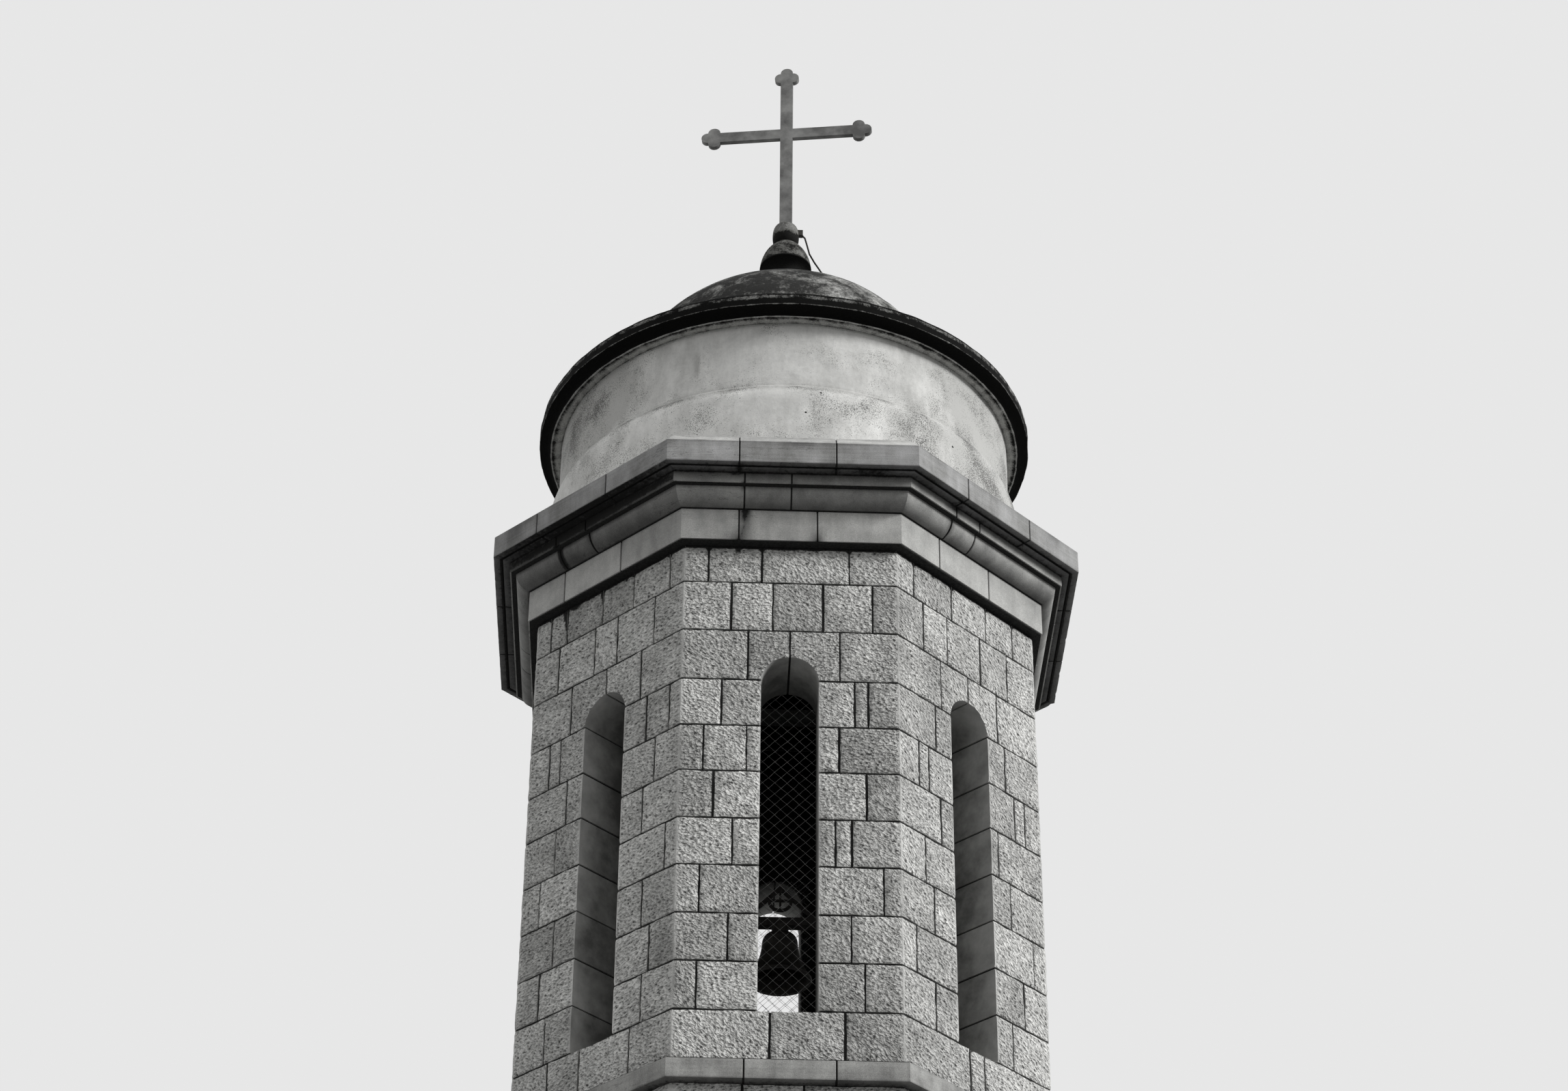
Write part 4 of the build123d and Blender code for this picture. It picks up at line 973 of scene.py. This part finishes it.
# the lighter line at the fascia's lower arris is a painted highlight
rim_rows += [(1588, 14122, 0.5), (1592, 14125, 0.28), (1592, 14130, 0.6), (1592, 14135, 1.1), (1592, 14156, 1.0),
             (1592, 14164, 0.6), (1592, 14174, 0.4), (1592, 14190, 0.36), (1591, 14202, 0.6), (1586, RIM_TOP, 1.0),
             (1480, RIM_TOP, 0.8), (1380, RIM_TOP, 0.8), (DRUM_INSIDE, RIM_TOP, 0.3), (DRUM_INSIDE, DRUM_TOP, 0.3)]
rim_black = weathered_render("lime render blackened by lichen", "#b0b0ad", "#626260", "#0d0d0c", 15.0)
turned("rim_render", rim_rows, 400, rim_black, "blackened_render", ["rim_moulding"],
       relief=waves((120, 5, 3), (40, 3, 4), 6, lambda height, reach: reach > 1500))

# Dome
# A half-round shell of masonry under a coat of mortar, mottled with lichen and rain.
# It is flat at the crown, where the finial stands. Only the coat is made, as the inside never shows.
DOME_MIDDLE = 14226
DOME_RADIUS, CROWN_REACH = 1158, 150
crown_turn = math.acos(CROWN_REACH / DOME_RADIUS)
crown = DOME_MIDDLE + DOME_RADIUS * math.sin(crown_turn)
dome_rows = [(DRUM_INSIDE, RIM_TOP), (DOME_RADIUS, RIM_TOP)]
dome_rows += [(DOME_RADIUS * math.cos(t), DOME_MIDDLE + DOME_RADIUS * math.sin(t))
              for t in np.linspace(0, crown_turn, 56)]
dome_rows += [(0, crown)]


def dome_grime(turn, height, reach):
    """Lichen is thicker near the crown and on the side away from the sun."""
    shaded = np.clip(2 * np.cos(turn + 2.6), 0, 1)
    return 0.3 + 0.16 * np.clip((height - 15000) / 200, 0, 1) + 0.14 * shaded + 0 * reach


dome_mortar = weathered_render("mortar coat, mottled by lichen", "#c8c8c5", "#686866", "#333332", 5.5)
turned("dome_mortar_coat", dome_rows, 256, dome_mortar, "weathered_mortar", ["dome"], grime=dome_grime,
       relief=waves((160, 6, 6), (50, 3, 7), 6, lambda height, reach: (
           height < crown - 15) & (height > DOME_MIDDLE + 4) & (reach > CROWN_REACH + 10)))

# Finial
# A turned cement foot, stem and pear-shaped urn on the dome's crown, with a ball on its neck.
# Its undersides are painted darker than its upper sides, as painted shade.
finial_rows = [(0, crown, 0.5), (150, crown, 0.9), (150, crown + 56, 0.3)]
finial_rows += [(*p, 0.4) for p in bend((150, crown + 56), (109, crown + 65), (105, crown + 136), 10)[1:]]
finial_rows += [(*p, 0.8) for p in bend((105, crown + 256), (105, crown + 320), (176, crown + 344), 12)]
finial_rows += [(*p, 0.38) for p in bend((176, crown + 344), (162, crown + 483.1), (72, crown + 558), 20)[1:]]
finial_rows += [(0, crown + 558, 0.6)]
finial_grey = weathered_render("turned cement, weathered", "#949492", "#62625f", "#1e1e1d", 11.0)
turned("finial_urn_cement", finial_rows, 96, finial_grey, "finial_cement", ["finial_urn"], sharp=40)
ball_base = crown + 558
ball_profile = [(0, ball_base)] + bend((72, ball_base), (90, ball_base + 18), (90, ball_base + 73.92), 8)
ball_profile += bend((90, ball_base + 73.92), (90, ball_base + 171), (47, ball_base + 176), 12)[1:]
ball_profile += [(0, ball_base + 176)]
# the ball darkens towards its underside, as painted shade
turned("finial_ball_cement", ball_profile, 96, finial_grey, "finial_cement", ["finial_ball"], sharp=40,
       grime=lambda turn, height, reach: np.clip(0.95 - (height - ball_base) / 130, 0.3, 1))

# Cross
# Flat wrought-iron bars with three round lobes at each end, painted grey long ago.
# Its foot is let into the ball.

# grey oil paint on iron, chalky with age, with darker blotches where rust works under it
old_paint = mottled("old grey paint on iron", {"Scale": 7.0, "Detail": 7.0, "Roughness": 0.6}, (0.34, "#5b5b5a"),
                    (0.66, "#9b9b99"), 0.6)
finish_node("cross", old_paint, 3.0)

# Lightning conductor
# A round copper rod gone dark, from a clamp on the ball over the dome and the cornice and down one wall.
# Bronze saddles hold it off the stone.


def dark_copper(name, light, dark):
    """Copper alloy with a dull, nearly black weather skin."""
    return mottled(name, {"Scale": 60.0, "Detail": 5.0}, (0.2, dark), (0.8, light), 0.6, metallic=0.5)


finish_node("lightning_conductor", dark_copper("copper rod, weathered dark", "#3c3a38", "#1d1c1b"))
clip_bronze = dark_copper("cast bronze saddle, weathered", "#4b4945", "#262522")
finish_node("conductor_clips", clip_bronze, 1.5)
finish_node("conductor_clamp", clip_bronze, 2.0)

# Studio
# A pale floor, a soft key lamp from the right and a little in front, a weak fill from the left, and an even sky.
# The camera sees floor and sky paler than they light the tower, so that the stone keeps its own tones.
# in metres
FLOOR_RADIUS = 60
floor_mesh = bpy.data.meshes.new("studio_floor")
floor_edge = [(FLOOR_RADIUS * math.cos(t), FLOOR_RADIUS * math.sin(t), -0.002)
              for t in np.linspace(0, 2 * math.pi, 64, endpoint=False)]
floor_mesh.from_pydata(floor_edge, [], [tuple(range(64))])
floor = bpy.data.objects.new("studio_floor", floor_mesh)
bpy.context.scene.collection.objects.link(floor)
floor_paint, tree, place = new_material("pale matt floor")
path = add(tree, "LightPath")
pale = add(tree, "Mix", {"A": linear("#8a8a8a"), "B": linear("#e5e5e3")}, {"Factor": path.outputs["Is Camera Ray"]},
           data_type="RGBA")
surface(tree, pale, None, roughness=0.95)
floor_mesh.materials.append(floor_paint)

world = bpy.data.worlds.new("studio")
bpy.context.scene.world = world
world.use_nodes = True
tree = world.node_tree
tree.nodes.clear()
path = add(tree, "LightPath")
up = add(tree, "SeparateXYZ", links={"Vector": add(tree, "TexCoord").outputs["Generated"]})
sky = add(tree, "MapRange", {"From Min": -0.15, "From Max": 0.5, "To Min": 0.14, "To Max": 0.6},
          {"Value": up.outputs["Z"]})
shown = add(tree, "Math", links={0: path.outputs["Is Camera Ray"], 1: path.outputs["Is Glossy Ray"]},
            operation="MAXIMUM")
shown = add(tree, "Math", links={0: shown, 1: path.outputs["Is Transmission Ray"]}, operation="MAXIMUM")
strength = add(tree, "Mix", {"B": 0.8}, {"Factor": shown, "A": sky}, data_type="FLOAT")
back = add(tree, "Background", {"Color": (1, 1, 1, 1)}, {"Strength": strength})
add(tree, "OutputWorld", links={"Surface": back})

for name, direction, height, energy, spread in (("key_lamp", -18, 25, 2.8, 16), ("fill_lamp", -165, 32, 0.25, 50)):
    lamp_data = bpy.data.lights.new(name, "SUN")
    lamp_data.energy = energy
    lamp_data.angle = math.radians(spread)
    lamp = bpy.data.objects.new(name, lamp_data)
    bpy.context.scene.collection.objects.link(lamp)
    direction, height = math.radians(direction), math.radians(height)
    toward = Vector((math.cos(direction) * math.cos(height), math.sin(direction) * math.cos(height), math.sin(height)))
    lamp.rotation_mode = "QUATERNION"
    lamp.rotation_quaternion = toward.to_track_quat("Z", "Y")

# Camera
# It stands low in front of the tower, a little to the left, and is tilted up as in the photograph.
# Its lens is 5000 px long on a frame 2296 px wide, as worked out from the tower's edges.
FRAME_WIDTH, LENS_PIXELS = 2296, 5000
CAMERA_PLACE = (-0.540, -17.8332, 0.7744)
camera_data = bpy.data.cameras.new("camera")
camera_data.sensor_width = 36
camera_data.lens = LENS_PIXELS / FRAME_WIDTH * camera_data.sensor_width
camera_data.clip_end = 500
camera = bpy.data.objects.new("camera", camera_data)
bpy.context.scene.collection.objects.link(camera)
yaw, pitch, roll = math.radians(1.751), math.radians(35.346), math.radians(0.461)
ahead = Vector((math.sin(yaw) * math.cos(pitch), math.cos(yaw) * math.cos(pitch), math.sin(pitch)))
level = Vector((math.cos(yaw), -math.sin(yaw), 0))
upward = level.cross(ahead)
right = level * math.cos(roll) + upward * math.sin(roll)
upward = -level * math.sin(roll) + upward * math.cos(roll)
axes = (right, upward, -ahead)
camera.matrix_world = Matrix([(*(axis[i] for axis in axes), CAMERA_PLACE[i]) for i in range(3)] + [(0, 0, 0, 1)])
bpy.context.scene.camera = camera
bpy.context.scene.view_settings.view_transform = "Standard"
